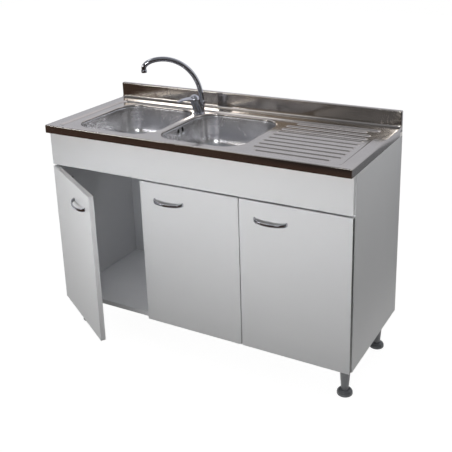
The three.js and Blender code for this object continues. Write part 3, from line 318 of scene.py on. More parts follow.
print("boards and plastics:", MELAMINE.name, INNER_BOARD.name, HARDBOARD.name, LEG_PLASTIC.name)

# %% [markdown]
# ### Spruce battens
#
# Inside the rim lie planed spruce battens. Spruce shows growth rings: cut along the trunk they are
# long lines about 3 mm apart, so the pattern is stretched forty times along the batten.


# %% Wood finish
def spruce():
    """Rings are bands across a stretched and slightly bent place; fibres are a finer noise."""
    material, tree = empty_material("spruce_planed_batten")
    place = add(tree, "TexCoord").outputs["Object"]
    trunk = add(tree, "Mapping", Vector=place, Scale=(1.6, 70.0, 70.0))
    bands = {"bands_direction": "Y"}
    rings = add(tree, "TexWave", bands, Vector=trunk, Scale=0.7, Distortion=5.0, Detail=3.0)
    tones = [(0.1, "#c9a877"), (0.75, "#b98f5c"), (0.95, "#946a3c")]
    hue = add(tree, "ValToRGB", {"stops": tones}, Fac=rings.outputs["Fac"])
    fibre = add(tree, "Mapping", Vector=place, Scale=(12.0, 900.0, 900.0))
    fuzz = add(tree, "TexNoise", Vector=fibre, Scale=1.0, Detail=4.0)
    relief = add(tree, "Bump", Height=fuzz, Distance=6e-5)
    shader = add(tree, "BsdfPrincipled", Base_Color=hue, Roughness=0.72, Normal=relief)
    add(tree, "OutputMaterial", Surface=shader)
    return material


# %% Finishes of the boards and fittings that stay
FINISH_OF_SLOT = {
    "steel": TOP_STEEL, "chrome": CHROME, "waste": WASTE_STEEL, "hinge": NICKEL,
    "laminate": MELAMINE, "board": INNER_BOARD, "batten": spruce(),
    "leg": LEG_PLASTIC, "foot": FOOT_PLASTIC, "plastic": HOUSING_PLASTIC,
}
FINISH_OF_NODE = {"back_panel": HARDBOARD, "right_door": PAINTED_SHADE_EDGE}
for node, slot in SLOT_OF.items():
    solid = frame["nodes"][node].data
    solid.materials.clear()
    solid.materials.append(FINISH_OF_NODE.get(node, FINISH_OF_SLOT[slot]))
print("finishes given to", len(SLOT_OF), "solids")

# %% [markdown]
# ## The pressed top
#
# The real top is one sheet: its front and sides are folded down, its back is folded up into an
# upstand, and a press sinks the working field by 5 mm and raises the drainboard's ribs.
# What a press makes is a height for each point of a plan, so it is one grid with a height function.

# %% Sizes of the top
RIM_DROP, RIM_RADIUS, SHEET = 30.0, 4.0, 1.0
EDGE_ROW = 0.8  # a low last row of faces keeps the sheet's folded edge out of the shading
UPSTAND, UPSTAND_THICKNESS, COVE = 60.0, 18.0, 9.0
FACE_Y = DEPTH - UPSTAND_THICKNESS
FIELD_LOW, FIELD_HIGH = np.array([45.0, 20.0]), np.array([WIDTH - 45.0, 425.0])
FIELD_CORNER, FIELD_DROP, STEP_RUN, STEP_SPILL = 24.0, 5.0, 5.0, 1.0
FIELD_Z = HEIGHT - FIELD_DROP
BOWLS = np.array([[253.5, 233.0], [614.0, 233.0]])
BOWL_HALF, BOWL_CORNER, BOWL_DEPTH = np.array([166.0, 178.0]), 80.0, 150.0
LIP, LIP_SKIRT = 6.0, 3.0
FIRST_RIB, LAST_RIB, RIBS = 62.0, 398.0, 10
RIB_Y = np.linspace(FIRST_RIB, LAST_RIB, RIBS)
RIB_LEFT, RIB_RIGHT, RIB_HALF, RIB_RISE, RIB_CORNER = 817.0, 1132.0, 7.0, 4.0, 50.0
RIB_SPILL, RIB_CROWN = 1.5, 1.15  # how far a rib's slope runs on, and how pointed its top is


# %% The height of the pressed sheet
def corner_distance(x, y, low, high, corner):
    """Distance from a rectangle with round corners, negative inside: how far a point lies beyond
    the inner rectangle of the corners' centres, less the corners' radius."""
    centre, half = (low + high) / 2, (high - low) / 2 - corner
    beyond_x, beyond_y = abs(x - centre[0]) - half[0], abs(y - centre[1]) - half[1]
    outside = np.hypot(np.maximum(beyond_x, 0), np.maximum(beyond_y, 0))
    return outside + np.minimum(np.maximum(beyond_x, beyond_y), 0) - corner


def ease(share):
    """Smooth step: 3 t squared less 2 t cubed, with t held between 0 and 1."""
    share = np.clip(share, 0, 1)
    return share * share * (3 - 2 * share)


def rib_ends(y):
    """The ribs nearest the front and back are shorter, so that together they have round corners:
    the inset is the corner's radius less the root of its square less the square of the depth."""
    to_edge = np.minimum(y - RIB_Y[0], RIB_Y[-1] - y) + RIB_HALF
    into = np.maximum(RIB_CORNER - to_edge, 0)
    inset = RIB_CORNER - np.sqrt(RIB_CORNER**2 - into**2)
    return RIB_LEFT + RIB_HALF + inset, RIB_RIGHT - RIB_HALF - inset


def top_height(x, y):
    """The flat top, less a smooth step into the field, plus for each rib a rounded bead whose
    height falls with the distance from the rib's line."""
    inside = -corner_distance(x, y, FIELD_LOW, FIELD_HIGH, FIELD_CORNER)
    z = HEIGHT - FIELD_DROP * ease((inside + STEP_SPILL) / (STEP_RUN + 2 * STEP_SPILL))
    for rib_y in RIB_Y:
        left, right = rib_ends(rib_y)
        away = np.hypot(x - np.clip(x, left, right), y - rib_y) / (RIB_HALF + RIB_SPILL)
        z = z + RIB_RISE * (1 - ease(away)) ** RIB_CROWN
    return z


# %% [markdown]
# The grid's lines are close together only where the height changes: across the step and the ribs.
# The bowls' openings are left out of the grid as rectangles.


# %% Where the grid's lines run
def stations(*spans):
    """Coordinates with a chosen spacing in each span: (start, end, spacing)."""
    lines = [np.linspace(a, b, max(round((b - a) / gap), 1) + 1) for a, b, gap in spans]
    return np.unique(np.concatenate(lines).round(4))


HOLE_MARGIN = LIP + 2.0
HOLE_LOW, HOLE_HIGH = BOWLS - BOWL_HALF - HOLE_MARGIN, BOWLS + BOWL_HALF + HOLE_MARGIN
holes_x = joined(HOLE_LOW[:, 0], HOLE_HIGH[:, 0]).ravel()
front_y, rear_y = HOLE_LOW[0, 1], HOLE_HIGH[0, 1]
step_x = FIELD_LOW[0] - 2, FIELD_LOW[0] + 8
starts_x, ends_x = (RIB_LEFT - 11, RIB_LEFT + 45), (RIB_RIGHT - 42, FIELD_HIGH[0] + 3)
column_x = stations(
    (RIM_RADIUS, step_x[0], 8), (*step_x, 1.1), (step_x[1], holes_x[0], 9), (*holes_x[:2], 8),
    (*holes_x[1:3], 6), (*holes_x[2:], 8), (holes_x[3], starts_x[0], 8), (*starts_x, 1.7),
    (starts_x[1], ends_x[0], 8), (*ends_x, 1.7), (ends_x[1], WIDTH - RIM_RADIUS, 8),
)
ribs_wide = RIB_HALF + 2.0
rib_spans = [(y - ribs_wide, y + ribs_wide, 1.8) for y in RIB_Y]
gap_spans = [(a + ribs_wide, b - ribs_wide, 6.5) for a, b in zip(RIB_Y, RIB_Y[1:])]
step_y, ledge_y = (FIELD_LOW[1] - 2, FIELD_LOW[1] + 7), FIELD_HIGH[1] + 2
row_y = stations(
    (RIM_RADIUS, step_y[0], 7), (*step_y, 1.2), (step_y[1], front_y, 10),
    (front_y, RIB_Y[0] - ribs_wide, 6), *rib_spans, *gap_spans,
    (RIB_Y[-1] + ribs_wide, rear_y, 5), (rear_y, ledge_y, 1.1), (ledge_y, FACE_Y - COVE, 8),
)
print("top grid:", len(column_x), "by", len(row_y))


# %% The flat with its two gaps
def plate():
    """The grid of the whole flat, without the cells inside the two rectangles."""
    x, y = np.meshgrid(column_x, row_y)
    points, cells = grid(joined(x, y, top_height(x, y)))
    middle = points[cells].mean(1)[:, None, :2]
    in_hole = ((middle > HOLE_LOW) & (middle < HOLE_HIGH)).all(-1).any(-1)
    return points, cells[~in_hole]


# %% [markdown]
# A ring of faces leads from each rectangle to the bowl's rounded outline and on over the rolled
# lip. Its columns lie on rays from the bowl's centre through the rectangle's own grid points, so
# the seam closes exactly. The bowl below goes on along the same rays.


# %% Rays and outlines
def border(index):
    """The grid's own points round a rectangle, once round, anticlockwise from the front left."""
    xs, ys = (
        line[(line > low - 1e-3) & (line < high + 1e-3)]
        for line, low, high in zip((column_x, row_y), HOLE_LOW[index], HOLE_HIGH[index])
    )
    front, right = joined(xs, ys[0]), joined(xs[-1], ys)[1:]
    back, left = joined(xs[::-1], ys[-1])[1:], joined(xs[0], ys[::-1])[1:-1]
    return np.concatenate([front, right, back, left])


def outline(angles, half, corner):
    """Points of a rectangle with round corners, about its centre, where rays at these angles meet
    it. A finely drawn outline is sorted by its angle, and its radius is read off at each ray."""
    corner = min(corner, *half)
    quarter = np.linspace(0, math.pi / 2, 200)
    turns = (quarter + np.arange(4)[:, None] * math.pi / 2).ravel()
    x = np.repeat([1, -1, -1, 1], 200) * (half[0] - corner) + corner * np.cos(turns)
    y = np.repeat([1, 1, -1, -1], 200) * (half[1] - corner) + corner * np.sin(turns)
    edge = joined(x, y)
    share = np.linspace(0, 1, 40, endpoint=False)[:, None]
    edge = (edge[:, None] * (1 - share) + np.roll(edge, -1, 0)[:, None] * share).reshape(-1, 2)
    direction, reach = np.arctan2(edge[:, 1], edge[:, 0]), np.hypot(edge[:, 0], edge[:, 1])
    order = np.argsort(direction)
    radius = np.interp(angles, direction[order], reach[order], period=2 * math.pi)
    return radius[:, None] * joined(np.cos(angles), np.sin(angles))


def bowl_rays(index):
    ways = border(index) - BOWLS[index]
    return np.arctan2(ways[:, 1], ways[:, 0])


def level_ring(index, grow, drop):
    """The bowl's outline, larger by "grow", at a depth below the sunken field."""
    plan = outline(bowl_rays(index), BOWL_HALF + grow, BOWL_CORNER + grow) + BOWLS[index]
    return np.insert(plan, 2, FIELD_Z - drop, axis=1)


# %% The rolled lips
def opening(index):
    """Rows from the rectangle to the outline, then a quarter circle down and a short skirt."""
    rim_ring = level_ring(index, LIP, 0)[:, :2]
    shares = np.linspace(0, 1, 4)[:-1, None, None]
    flat = border(index) * (1 - shares) + rim_ring * shares
    flat = np.dstack([flat, top_height(flat[..., 0], flat[..., 1])])
    turn = np.linspace(0, math.pi / 2, 8)
    roll = [level_ring(index, LIP * (1 - math.sin(a)), LIP * (1 - math.cos(a))) for a in turn]
    return grid(np.stack([*flat, *roll, level_ring(index, 0, LIP + LIP_SKIRT)]), wrap=True)


# %% [markdown]
# The rim and the upstand are sections carried along the edges of the flat. The rim's section is a
# quarter circle and a straight drop. Round a corner of the unit it turns about one point, so the
# corner becomes an eighth of a ball, as a pressed and ground corner is.


# %% The folded rim
def rim():
    """Each point of the flat's edge goes outwards and down along the section."""
    steps, far = 9, WIDTH - RIM_RADIUS
    turn = np.radians(np.linspace(0, 90, steps))
    edge = np.concatenate([
        joined(RIM_RADIUS, row_y[::-1]), np.full((steps, 2), RIM_RADIUS),
        joined(column_x, RIM_RADIUS), np.tile([far, RIM_RADIUS], (steps, 1)), joined(far, row_y),
    ])
    outward = np.concatenate([
        np.tile([-1.0, 0.0], (len(row_y), 1)), joined(-np.cos(turn), -np.sin(turn)),
        np.tile([0.0, -1.0], (len(column_x), 1)), joined(np.sin(turn), -np.cos(turn)),
        np.tile([1.0, 0.0], (len(row_y), 1)),
    ])
    fold = np.radians(np.linspace(0, 90, 7))
    out = np.append(RIM_RADIUS * np.sin(fold), [RIM_RADIUS, RIM_RADIUS])
    drop = np.append(RIM_RADIUS * (1 - np.cos(fold)), [RIM_DROP - EDGE_ROW, RIM_DROP])
    plan = edge[:, None] + outward[:, None] * out[:, None]
    return grid(joined(plan[..., 0], plan[..., 1], HEIGHT - drop))


# %% The upstand
def arc(centre, radius, start, end, steps):
    """Points on a circle from one angle to another, in degrees."""
    angle = np.radians(np.linspace(start, end, steps))
    return np.asarray(centre) + radius * joined(np.cos(angle), np.sin(angle))


def upstand_section(inset):
    """Depth and height of the upstand's skin, moved inwards by the inset: a cove, the face, a
    rounded crest and the back down to the rim's lower edge."""
    crest, foot, fold, back = HEIGHT + UPSTAND, HEIGHT - RIM_DROP, 5.0, DEPTH - inset
    return np.concatenate([
        arc((FACE_Y - COVE, HEIGHT + COVE), COVE + inset, -90, 0, 10),
        arc((FACE_Y + fold, crest - fold), fold - inset, 180, 90, 7),
        arc((DEPTH - fold, crest - fold), fold - inset, 90, 0, 7),
        [[back, HEIGHT], [back, foot + EDGE_ROW], [back, foot]],
    ])


def upstand():
    """The section carried along the back. Its ends are rounded over, and each is closed by a fan
    of faces from a point inside the end's outline."""
    turn = np.radians(np.linspace(90, 0, 7))
    ends = RIM_RADIUS * (1 - joined(np.sin(turn), np.cos(turn)))
    right_ends = [WIDTH, 0.0] + ends[::-1] * [-1, 1]
    places = np.concatenate([ends, joined(column_x[1:-1], 0.0), right_ends])
    rows = [np.insert(upstand_section(inset), 0, x, axis=1) for x, inset in places]
    parts = [grid(np.stack(rows))]
    for row in (rows[0], rows[-1]):
        x = row[0, 0]
        loop = np.vstack([row, [x, FACE_Y - COVE, HEIGHT - RIM_DROP]])
        hub = np.broadcast_to([x, FACE_Y + UPSTAND_THICKNESS / 2, HEIGHT - 10.0], loop.shape)
        parts.append(grid(np.stack([loop, hub]), wrap=True))
    return parts


# %% [markdown]
# Blender's Solidify modifier gives the finished skin its thickness, inwards from the outer face.


# %% The top as one sheet
def thickened(made):
    wall = made.modifiers.new("sheet_thickness", "SOLIDIFY")
    wall.thickness, wall.offset = SHEET * MM, -1


top_parts = [plate(), opening(0), opening(1), rim(), *upstand()]
thickened(piece("pressed_top", top_parts, ["sink_top"], TOP_STEEL, open_sheet=True))

# %% [markdown]
# ## The bowls
#
# Each bowl is drawn from sheet: walls that lean in a little, a generous radius at the floor and a
# slight fall to the waste. It is a stack of outlines. The upper ones are rectangles with round
# corners, and the floor's outlines turn step by step into the waste's circle.

# %% Sizes of the bowls
DRAFT, FLOOR_RADIUS, FALL, SEAT_DROP = 10.0, 72.0, 4.0, 2.0
FLANGE_RADIUS, HOLE_RADIUS = 56.0, 45.0
SEAT_Z = FIELD_Z - BOWL_DEPTH - FALL - SEAT_DROP
WALL_TOP, WALL_END = LIP + LIP_SKIRT, BOWL_DEPTH - FLOOR_RADIUS
SLOTS_END = 39.0
SLOT_LEVELS = np.linspace(WALL_TOP, SLOTS_END, 11)
WALL_LEVELS = np.append(SLOT_LEVELS, np.linspace(SLOTS_END, WALL_END, 6)[1:])


# %% The stack of outlines
def bowl_surface(index):
    """A straight leaning wall, a quarter circle into the floor, and a floor whose outline is
    (1 - t) times the rounded rectangle plus t times the circle of the waste."""
    lean = DRAFT / (WALL_END - WALL_TOP)
    rows = [level_ring(index, -lean * (drop - WALL_TOP), drop) for drop in WALL_LEVELS]
    for angle in np.linspace(0, math.pi / 2, 14)[1:]:
        inset = DRAFT + FLOOR_RADIUS * (1 - math.cos(angle))
        rows.append(level_ring(index, -inset, WALL_END + FLOOR_RADIUS * math.sin(angle)))
    rays = bowl_rays(index)
    unit_circle = joined(np.cos(rays), np.sin(rays))
    floor_z = SEAT_Z + SEAT_DROP
    circles = [(FLANGE_RADIUS + 3, floor_z), (FLANGE_RADIUS + 2, floor_z - 0.6)]
    circles += [(FLANGE_RADIUS + 1, SEAT_Z), (HOLE_RADIUS, SEAT_Z)]
    rings = [np.insert(unit_circle * radius + BOWLS[index], 2, z, axis=1) for radius, z in circles]
    edge = rows[-1]
    rows += [edge * (1 - t) + rings[0] * t for t in np.linspace(0, 1, 9)[1:]]
    return np.stack(rows + rings[1:])


# %% [markdown]
# The right bowl has two upright overflow slots near the top of its left wall. For each slot a block
# of cells is left out, and a ring of faces leads from the block's border to the slot's outline.

# %% The overflow slots
SLOT_Y, SLOT_DROP, SLOT_HALF = (214.5, 243.5), 25.0, np.array([6.5, 9.0])
SLOT_ROWS, SLOT_MARGIN, STRAIGHT = (1, len(SLOT_LEVELS) - 1), 1.5, 0.1


def slot_columns(surface, y):
    """The columns on the left wall, where the outline is straight within the tolerance, that lie
    just beyond the slot on either side."""
    wall = np.flatnonzero(surface[0, :, 0] < surface[0, :, 0].min() + STRAIGHT)
    across, half = surface[SLOT_ROWS[0], wall, 1], SLOT_HALF[0] + SLOT_MARGIN
    return wall[across >= y + half][-1], wall[across <= y - half][0]


def slot_ring(surface, y, first, last):
    """From the block's border, in (depth, height), straight to the slot's outline. The wall is a
    plane there, so the third coordinate is a straight-line function of the height."""
    top_row, low_row = SLOT_ROWS
    loop = np.concatenate([
        surface[top_row, first:last], surface[top_row:low_row, last],
        surface[low_row, last:first:-1], surface[low_row:top_row:-1, first],
    ])
    centre = np.array([y, FIELD_Z - SLOT_DROP])
    ways = loop[:, 1:] - centre
    slot = outline(np.arctan2(ways[:, 1], ways[:, 0]), SLOT_HALF, SLOT_HALF[0]) + centre
    shares = np.linspace(0, 1, 5)[:, None, None]
    plan = loop[:, 1:] * (1 - shares) + slot * shares
    high, low = surface[top_row, first], surface[low_row, first]
    x = high[0] + (plan[..., 1] - high[2]) * (low[0] - high[0]) / (low[2] - high[2])
    return grid(np.dstack([x, plan]), wrap=True)


def slotted(surface):
    """The bowl's grid without the two blocks, and a ring for each slot."""
    points, cells = grid(surface, wrap=True)
    keep = np.ones((surface.shape[0] - 1, surface.shape[1]), bool)
    rings = []
    for y in SLOT_Y:
        first, last = slot_columns(surface, y)
        keep[slice(*SLOT_ROWS), first:last] = False
        rings.append(slot_ring(surface, y, first, last))
    return [(points, cells[keep.ravel()]), *rings]


# %% Both bowls
SIDES, WASTES = ("left", "right"), np.insert(BOWLS, 2, 0, axis=1)
for side, parts in zip(SIDES, ([grid(bowl_surface(0), wrap=True)], slotted(bowl_surface(1)))):
    made = piece(f"{side}_bowl_drawn", parts, [f"{side}_bowl"], BOWL_STEEL, open_sheet=True)
    thickened(made)

# %% [markdown]
# ## Wastes and strainers
#
# A waste is a turned pressing: a flange that lies in the bowl's seat, a cup and a tail for the
# pipe. Turned pieces are a section of radius and height, swept round an axis. A pressing has no
# sharp corners, so each corner of the section is first replaced by a short parabola.


# %% Turned pieces
def softened(line, reach, closed=False, steps=5):
    """Each corner P becomes a parabola that starts and ends "reach" away from it: with t from 0 to
    1 it is (1-t) squared times the start, 2t(1-t) times P, and t squared times the end."""
    line = np.asarray(line, float)
    ways = np.stack([np.roll(line, 1, 0) - line, np.roll(line, -1, 0) - line], 1)
    length = np.linalg.norm(ways, axis=-1, keepdims=True)
    ends = line[:, None] + ways / np.maximum(length, 1e-9) * np.minimum(reach, 0.45 * length)
    t = np.linspace(0, 1, steps)[None, :, None]
    curve = (1 - t) ** 2 * ends[:, :1] + 2 * t * (1 - t) * line[:, None] + t**2 * ends[:, 1:]
    if closed:
        return np.vstack([curve.reshape(-1, 2), curve[0, 0]])
    return np.vstack([line[0], curve[1:-1].reshape(-1, 2), line[-1]])


def turned(section, centre=(0, 0, 0), steps=96):
    """Radius r and height z swept round an upright axis: x = r cos a, y = r sin a."""
    angle = np.linspace(0, 2 * math.pi, steps, endpoint=False)
    radius, height = np.asarray(section, float).T[:, :, None]
    rings = joined(radius * np.cos(angle), radius * np.sin(angle), height)
    return grid(rings + np.asarray(centre, float), wrap=True)


# %% Waste bodies
CUP_RADIUS, LEDGE_RADIUS, TAIL_RADIUS, WASTE_WALL = 44.0, 40.0, 20.0, 2.0
flange = SEAT_Z + 0.3
cup_floor = flange - 42.0
tail_end = cup_floor - 24.0
waste_section = softened([
    (FLANGE_RADIUS, flange), (FLANGE_RADIUS - WASTE_WALL, flange + WASTE_WALL),
    (LEDGE_RADIUS, flange + WASTE_WALL), (LEDGE_RADIUS, cup_floor + WASTE_WALL),
    (TAIL_RADIUS - WASTE_WALL, cup_floor), (TAIL_RADIUS - WASTE_WALL, tail_end),
    (TAIL_RADIUS, tail_end), (TAIL_RADIUS, cup_floor - WASTE_WALL),
    (CUP_RADIUS, cup_floor), (CUP_RADIUS, flange),
], 1.2, closed=True)
for side, place in zip(SIDES, WASTES):
    pressing = turned(waste_section, place)
    piece(f"{side}_waste_pressing", [pressing], [f"{side}_waste_body"], WASTE_STEEL)

# %% [markdown]
# The strainer is a pressed basket with a ring of holes in its floor and a knob to lift it by. Its
# floor is made as eight sectors. In each, rings of faces lead from the sector's border to a round
# hole, on the upper and on the lower side, and a short tube joins the two.

# %% Strainers
HOLES, HOLE, KNOB_RADIUS = 8, 4.0, 6.0
basket_top = flange + 0.3 + WASTE_WALL
basket_floor = basket_top - 24.0
side_radius = LEDGE_RADIUS - 0.5
floor_outer, floor_inner = side_radius - 4.0, KNOB_RADIUS / 2


def sector(number, z_low, z_high):
    """One floor sector: its border in polar terms, and its hole at half the basket's radius."""
    share, span = np.linspace(0, 1, 12, endpoint=False), 2 * math.pi / HOLES
    inner, outer = floor_inner + 0 * share, floor_outer + 0 * share
    across = (outer - inner) * share
    radius = np.concatenate([inner, inner + across, outer, outer - across])
    along = np.concatenate([1 - share, 0 * share, share, 1 + 0 * share])
    angle = (number - 0.5 + along) * span
    edge = joined(radius * np.cos(angle), radius * np.sin(angle))
    middle = side_radius / 2 * np.array([math.cos(number * span), math.sin(number * span)])
    ways = edge - middle
    hole = middle + HOLE * ways / np.linalg.norm(ways, axis=1, keepdims=True)
    shares = np.linspace(0, 1, 4)[:, None, None]
    upper = np.insert(edge * (1 - shares) + hole * shares, 2, z_high, axis=2)
    lower = np.insert(edge * shares + hole * (1 - shares), 2, z_low, axis=2)
    return np.concatenate([upper, lower])


knob_foot, knob_top, floor_top = basket_floor + 14.0, basket_floor + 20.0, basket_floor + 2
lip_radius = LEDGE_RADIUS + 2
side_section = softened([
    (floor_outer, basket_floor), (side_radius, basket_top), (lip_radius, basket_top),
    (lip_radius, basket_top + 1), (side_radius - 2, basket_top + 1), (floor_outer, floor_top),
], 1.0)
knob_section = softened([
    (floor_inner, floor_top), (floor_inner, knob_foot), (KNOB_RADIUS, knob_foot),
    (KNOB_RADIUS, knob_top), (0, knob_top),
], 1.5)
under_section = [(0, basket_floor), (floor_inner, basket_floor)]
for side, place in zip(SIDES, WASTES):
    parts = [grid(sector(k, basket_floor, floor_top) + place, wrap=True) for k in range(HOLES)]
    parts += [turned(section, place) for section in (side_section, knob_section, under_section)]
    piece(f"{side}_strainer_basket", parts, [f"{side}_strainer"], WASTE_STEEL)

# %% [markdown]
# ## The tap
#
# The tap's body is a brass casting, ground and polished before it is chromed, so all its forms run
# into each other. The foot stands upright and the barrel leans 27 degrees towards the user. A bar
# swept along a path can do both: its path leaves the foot upright and bends into the lean.


# %% Swept bars
def swept(path, plane, wide, thick, power=2.0, steps=48):
    """Rings along a path that lies in one plane. "Wide" is measured along the plane's normal and
    "thick" in the plane. A ring's sine and cosine are raised to 2 / power with their signs kept:
    a power of 2 gives an ellipse, a larger one a flatter bar. Both ends are closed."""
    path, plane = np.asarray(path, float), np.asarray(plane, float)
    along = np.gradient(path, axis=0)
    across = np.cross(along / np.linalg.norm(along, axis=1, keepdims=True), plane)
    angle = np.linspace(0, 2 * math.pi, steps, endpoint=False)
    bend = [np.sign(wave) * abs(wave) ** (2 / power) for wave in (np.sin(angle), np.cos(angle))]
    wide, thick = (np.broadcast_to(size, len(path))[:, None, None] / 2 for size in (wide, thick))
    ring = wide * bend[0][:, None] * plane + thick * bend[1][:, None] * across[:, None]
    ends = [np.broadcast_to(path[i], (1, steps, 3)) for i in (0, -1)]
    return grid(np.concatenate([ends[0], path[:, None] + ring, ends[1]]), wrap=True)


def rotation(axis, degrees):
    return np.array(Matrix.Rotation(math.radians(degrees), 3, axis))


def placed(part, turn, shift):
    """The part's points, turned by a matrix and then shifted."""
    return part[0] @ turn.T + np.asarray(shift, float), part[1]


# %% The tap's flange
TAP, PLAY = np.array([433.75, 388.0, 0.0]), 0.3  # its place, and the gap between two pieces
LEAN, BARREL, BARREL_LENGTH, BACKSET = 27.0, 18.5, 58.0, 22.0
SOCKET_RADIUS, SOCKET_TOP = 10.5, HEIGHT + 21.0
low, high = FIELD_Z + PLAY, FIELD_Z + 5.0 + PLAY
TAP_SEAT = high + PLAY
flange_section = softened([
    (16.3, low), (23.5, low), (23.5, low + 2.5), (21.0, high), (16.3, high)
], 1.0, closed=True)
piece("tap_flange_turned", [turned(flange_section, TAP)], ["tap_flange"], CHROME)

# %% The tap's body
# The foot's bend is a cubic curve that starts upright at the seat and ends in the lean: with t
# from 0 to 1 it is (t - 2 t squared + t cubed) times the first way plus (2 t squared - t cubed)
# times the second.
BEND_END, FLARE = 24.0, 0.8
upright_way = np.array([0.0, 0.0, 1.0])
lean_way = rotation("X", LEAN) @ upright_way
t = np.linspace(0, 1, 14)[:, None]
foot_bend = BEND_END * ((t - 2 * t**2 + t**3) * upright_way + (2 * t**2 - t**3) * lean_way)
straight = lean_way * np.linspace(BEND_END, BARREL_LENGTH, 10)[1:, None]
dome = np.linspace(0, math.pi / 2, 14)[1:]
ball = lean_way * (BARREL_LENGTH + BARREL * np.sin(dome))[:, None]
barrel_path = np.concatenate([foot_bend, straight, ball])
barrel_radius = np.concatenate([
    BARREL + FLARE * (1 - t[:, 0]) ** 2, np.full(len(straight), BARREL), BARREL * np.cos(dome)
])
barrel = swept(barrel_path, (1, 0, 0), 2 * barrel_radius, 2 * barrel_radius, steps=72)
collar = turned(softened([(0, 0), (19.5, 0), (19.5, 9), (16, 10), (0, 10)], 2.0))
tall = SOCKET_TOP - TAP_SEAT
socket_section = [(0, PLAY), (SOCKET_RADIUS, PLAY), (SOCKET_RADIUS, tall), (0, tall)]
socket = turned(softened(socket_section, 1.2), (0, BACKSET, 0), 64)
arm_path = joined(0.0, np.linspace(0, BACKSET, 8), tall / 2)
arm = swept(arm_path, (1, 0, 0), 20.0, tall - 1, power=2.6)
here = TAP + [0, 0, TAP_SEAT]
body_parts = [placed(part, np.eye(3), here) for part in (barrel, collar, socket, arm)]
piece("tap_body_cast", body_parts, ["tap_body"], CHROME)

# %% [markdown]
# The lever is one casting too: a cap over the body's ball top, and a blade that narrows and thins
# to a round tip. It leans with the barrel and is swung 25 degrees towards the left bowl.

# %% Lever
CAP_INNER, CAP_OUTER, LEVER_SWING = 19.3, 21.8, 25.0
LEVER_LENGTH, LEVER_RISE, LEVER_CROWN, LEVER_SUNK = 72.0, 22.0, 4.0, 3.0
BLADE_ROOT, BLADE_TIP = np.array([[28.0], [8.0]]), np.array([[14.0], [4.0]])
outer_arc, inner_arc = arc((0, 0), CAP_OUTER, 30, 90, 20), arc((0, 0), CAP_INNER, 90, 30, 20)
cap = turned(np.vstack([outer_arc, inner_arc, outer_arc[:1]]), steps=96)
root = CAP_OUTER * math.sin(math.pi / 4)
share = np.linspace(0, 1, 40)
reach = root + (LEVER_LENGTH - root) * share - LEVER_SUNK * (1 - share)
climb = root + (LEVER_LENGTH - root) * share * math.tan(math.radians(LEVER_RISE))
blade_path = joined(0.0, -reach, climb + LEVER_CROWN * np.sin(math.pi * share))
tip = np.sqrt(1 - np.clip((share - 0.9) / 0.1, 0, 1) ** 2)
wide, thick = (BLADE_ROOT * (1 - share) + BLADE_TIP * share) * tip
blade = swept(blade_path, (1, 0, 0), wide, thick, power=2.4)
lever_turn = rotation("X", LEAN) @ rotation("Z", -LEVER_SWING)
ball_centre = here + lean_way * (BARREL_LENGTH + PLAY)
lever_parts = [placed(part, lever_turn, ball_centre) for part in (cap, blade)]
piece("tap_lever_cast", lever_parts, ["tap_lever"], CHROME)

# %% [markdown]
# The spout is a bent tube. Its centre line leaves the nut upright, follows a quarter of one ellipse
# up to the crown and a quarter of a smaller one down to the outlet. It is swung 50 degrees to the
# left, as photographed, about the axis of the nut.

# %% Spout
SPOUT_SWING, SPOUT_RADIUS, REACH = 50.0, 9.5, 214.0
CROWN_AT = 0.7 * REACH
base, crown, outlet = SOCKET_TOP + PLAY, HEIGHT + 211.0, HEIGHT + 176.0
rise_start, drop_end = base + 24.0, outlet + 4.0
up, down = np.linspace(0, math.pi / 2, 40)[:, None], np.linspace(0, math.pi / 2, 24)[1:, None]
line = np.vstack([
    [[0, base], [0, base + 12]],
    np.hstack([CROWN_AT * (1 - np.cos(up)), rise_start + (crown - rise_start) * np.sin(up)]),
    np.hstack([
        CROWN_AT + (REACH - CROWN_AT) * np.sin(down), drop_end + (crown - drop_end) * np.cos(down)
    ]),
    [[REACH, outlet]],
])
spout_path = joined(0.0, -line[:, 0], line[:, 1])
tube = swept(spout_path, (1, 0, 0), 2 * SPOUT_RADIUS, 2 * SPOUT_RADIUS, steps=40)
spout_turn, swivel = rotation("Z", -SPOUT_SWING), TAP + [0, BACKSET, 0]
piece("spout_bent_tube", [placed(tube, spout_turn, swivel)], ["spout"], CHROME)

# %% Nut and aerator
nut_top = base + 20.0
nut_section = softened([
    (9.8, base), (9.9, base), (12.5, base + 6.7), (12.5, nut_top - 4), (10.0, nut_top),
    (9.8, nut_top),
], 1.2, closed=True)
piece("spout_nut_turned", [turned(nut_section, swivel, 64)], ["spout_nut"], CHROME)

high = outlet - PLAY
low = high - 12.0
aerator_section = softened([
    (0, low + 4), (8, low + 4), (8, low), (11, low), (11, high - 3), (9, high), (0, high)
], 0.8)
aerator_part = turned(aerator_section, (0, -REACH, 0), 64)
piece("aerator_turned", [placed(aerator_part, spout_turn, swivel)], ["aerator"], CHROME)

# %% [markdown]
# ## Bow handles
#
# Each handle is a zinc casting, chromed: a bow that follows half an ellipse away from the door and
# back. Its oval section is tallest at its two ends, and the bow hangs a little in the middle.

# %% Handles
SPAN, BOW, DROOP, THICK, END_TALL, MIDDLE_TALL = 116.0, 23.0, 4.5, 7.0, 14.0, 9.5
angle = np.linspace(-math.pi / 2, math.pi / 2, 60)
bow_path = joined(SPAN / 2 * np.sin(angle), -BOW * np.cos(angle), -DROOP * np.cos(angle))
tall = END_TALL + (MIDDLE_TALL - END_TALL) * np.cos(angle)
bow = swept(bow_path, (0, 0, 1), tall, THICK, power=3.2)
HANDLE_Z, FRONT_Y = 622.3, 22.0
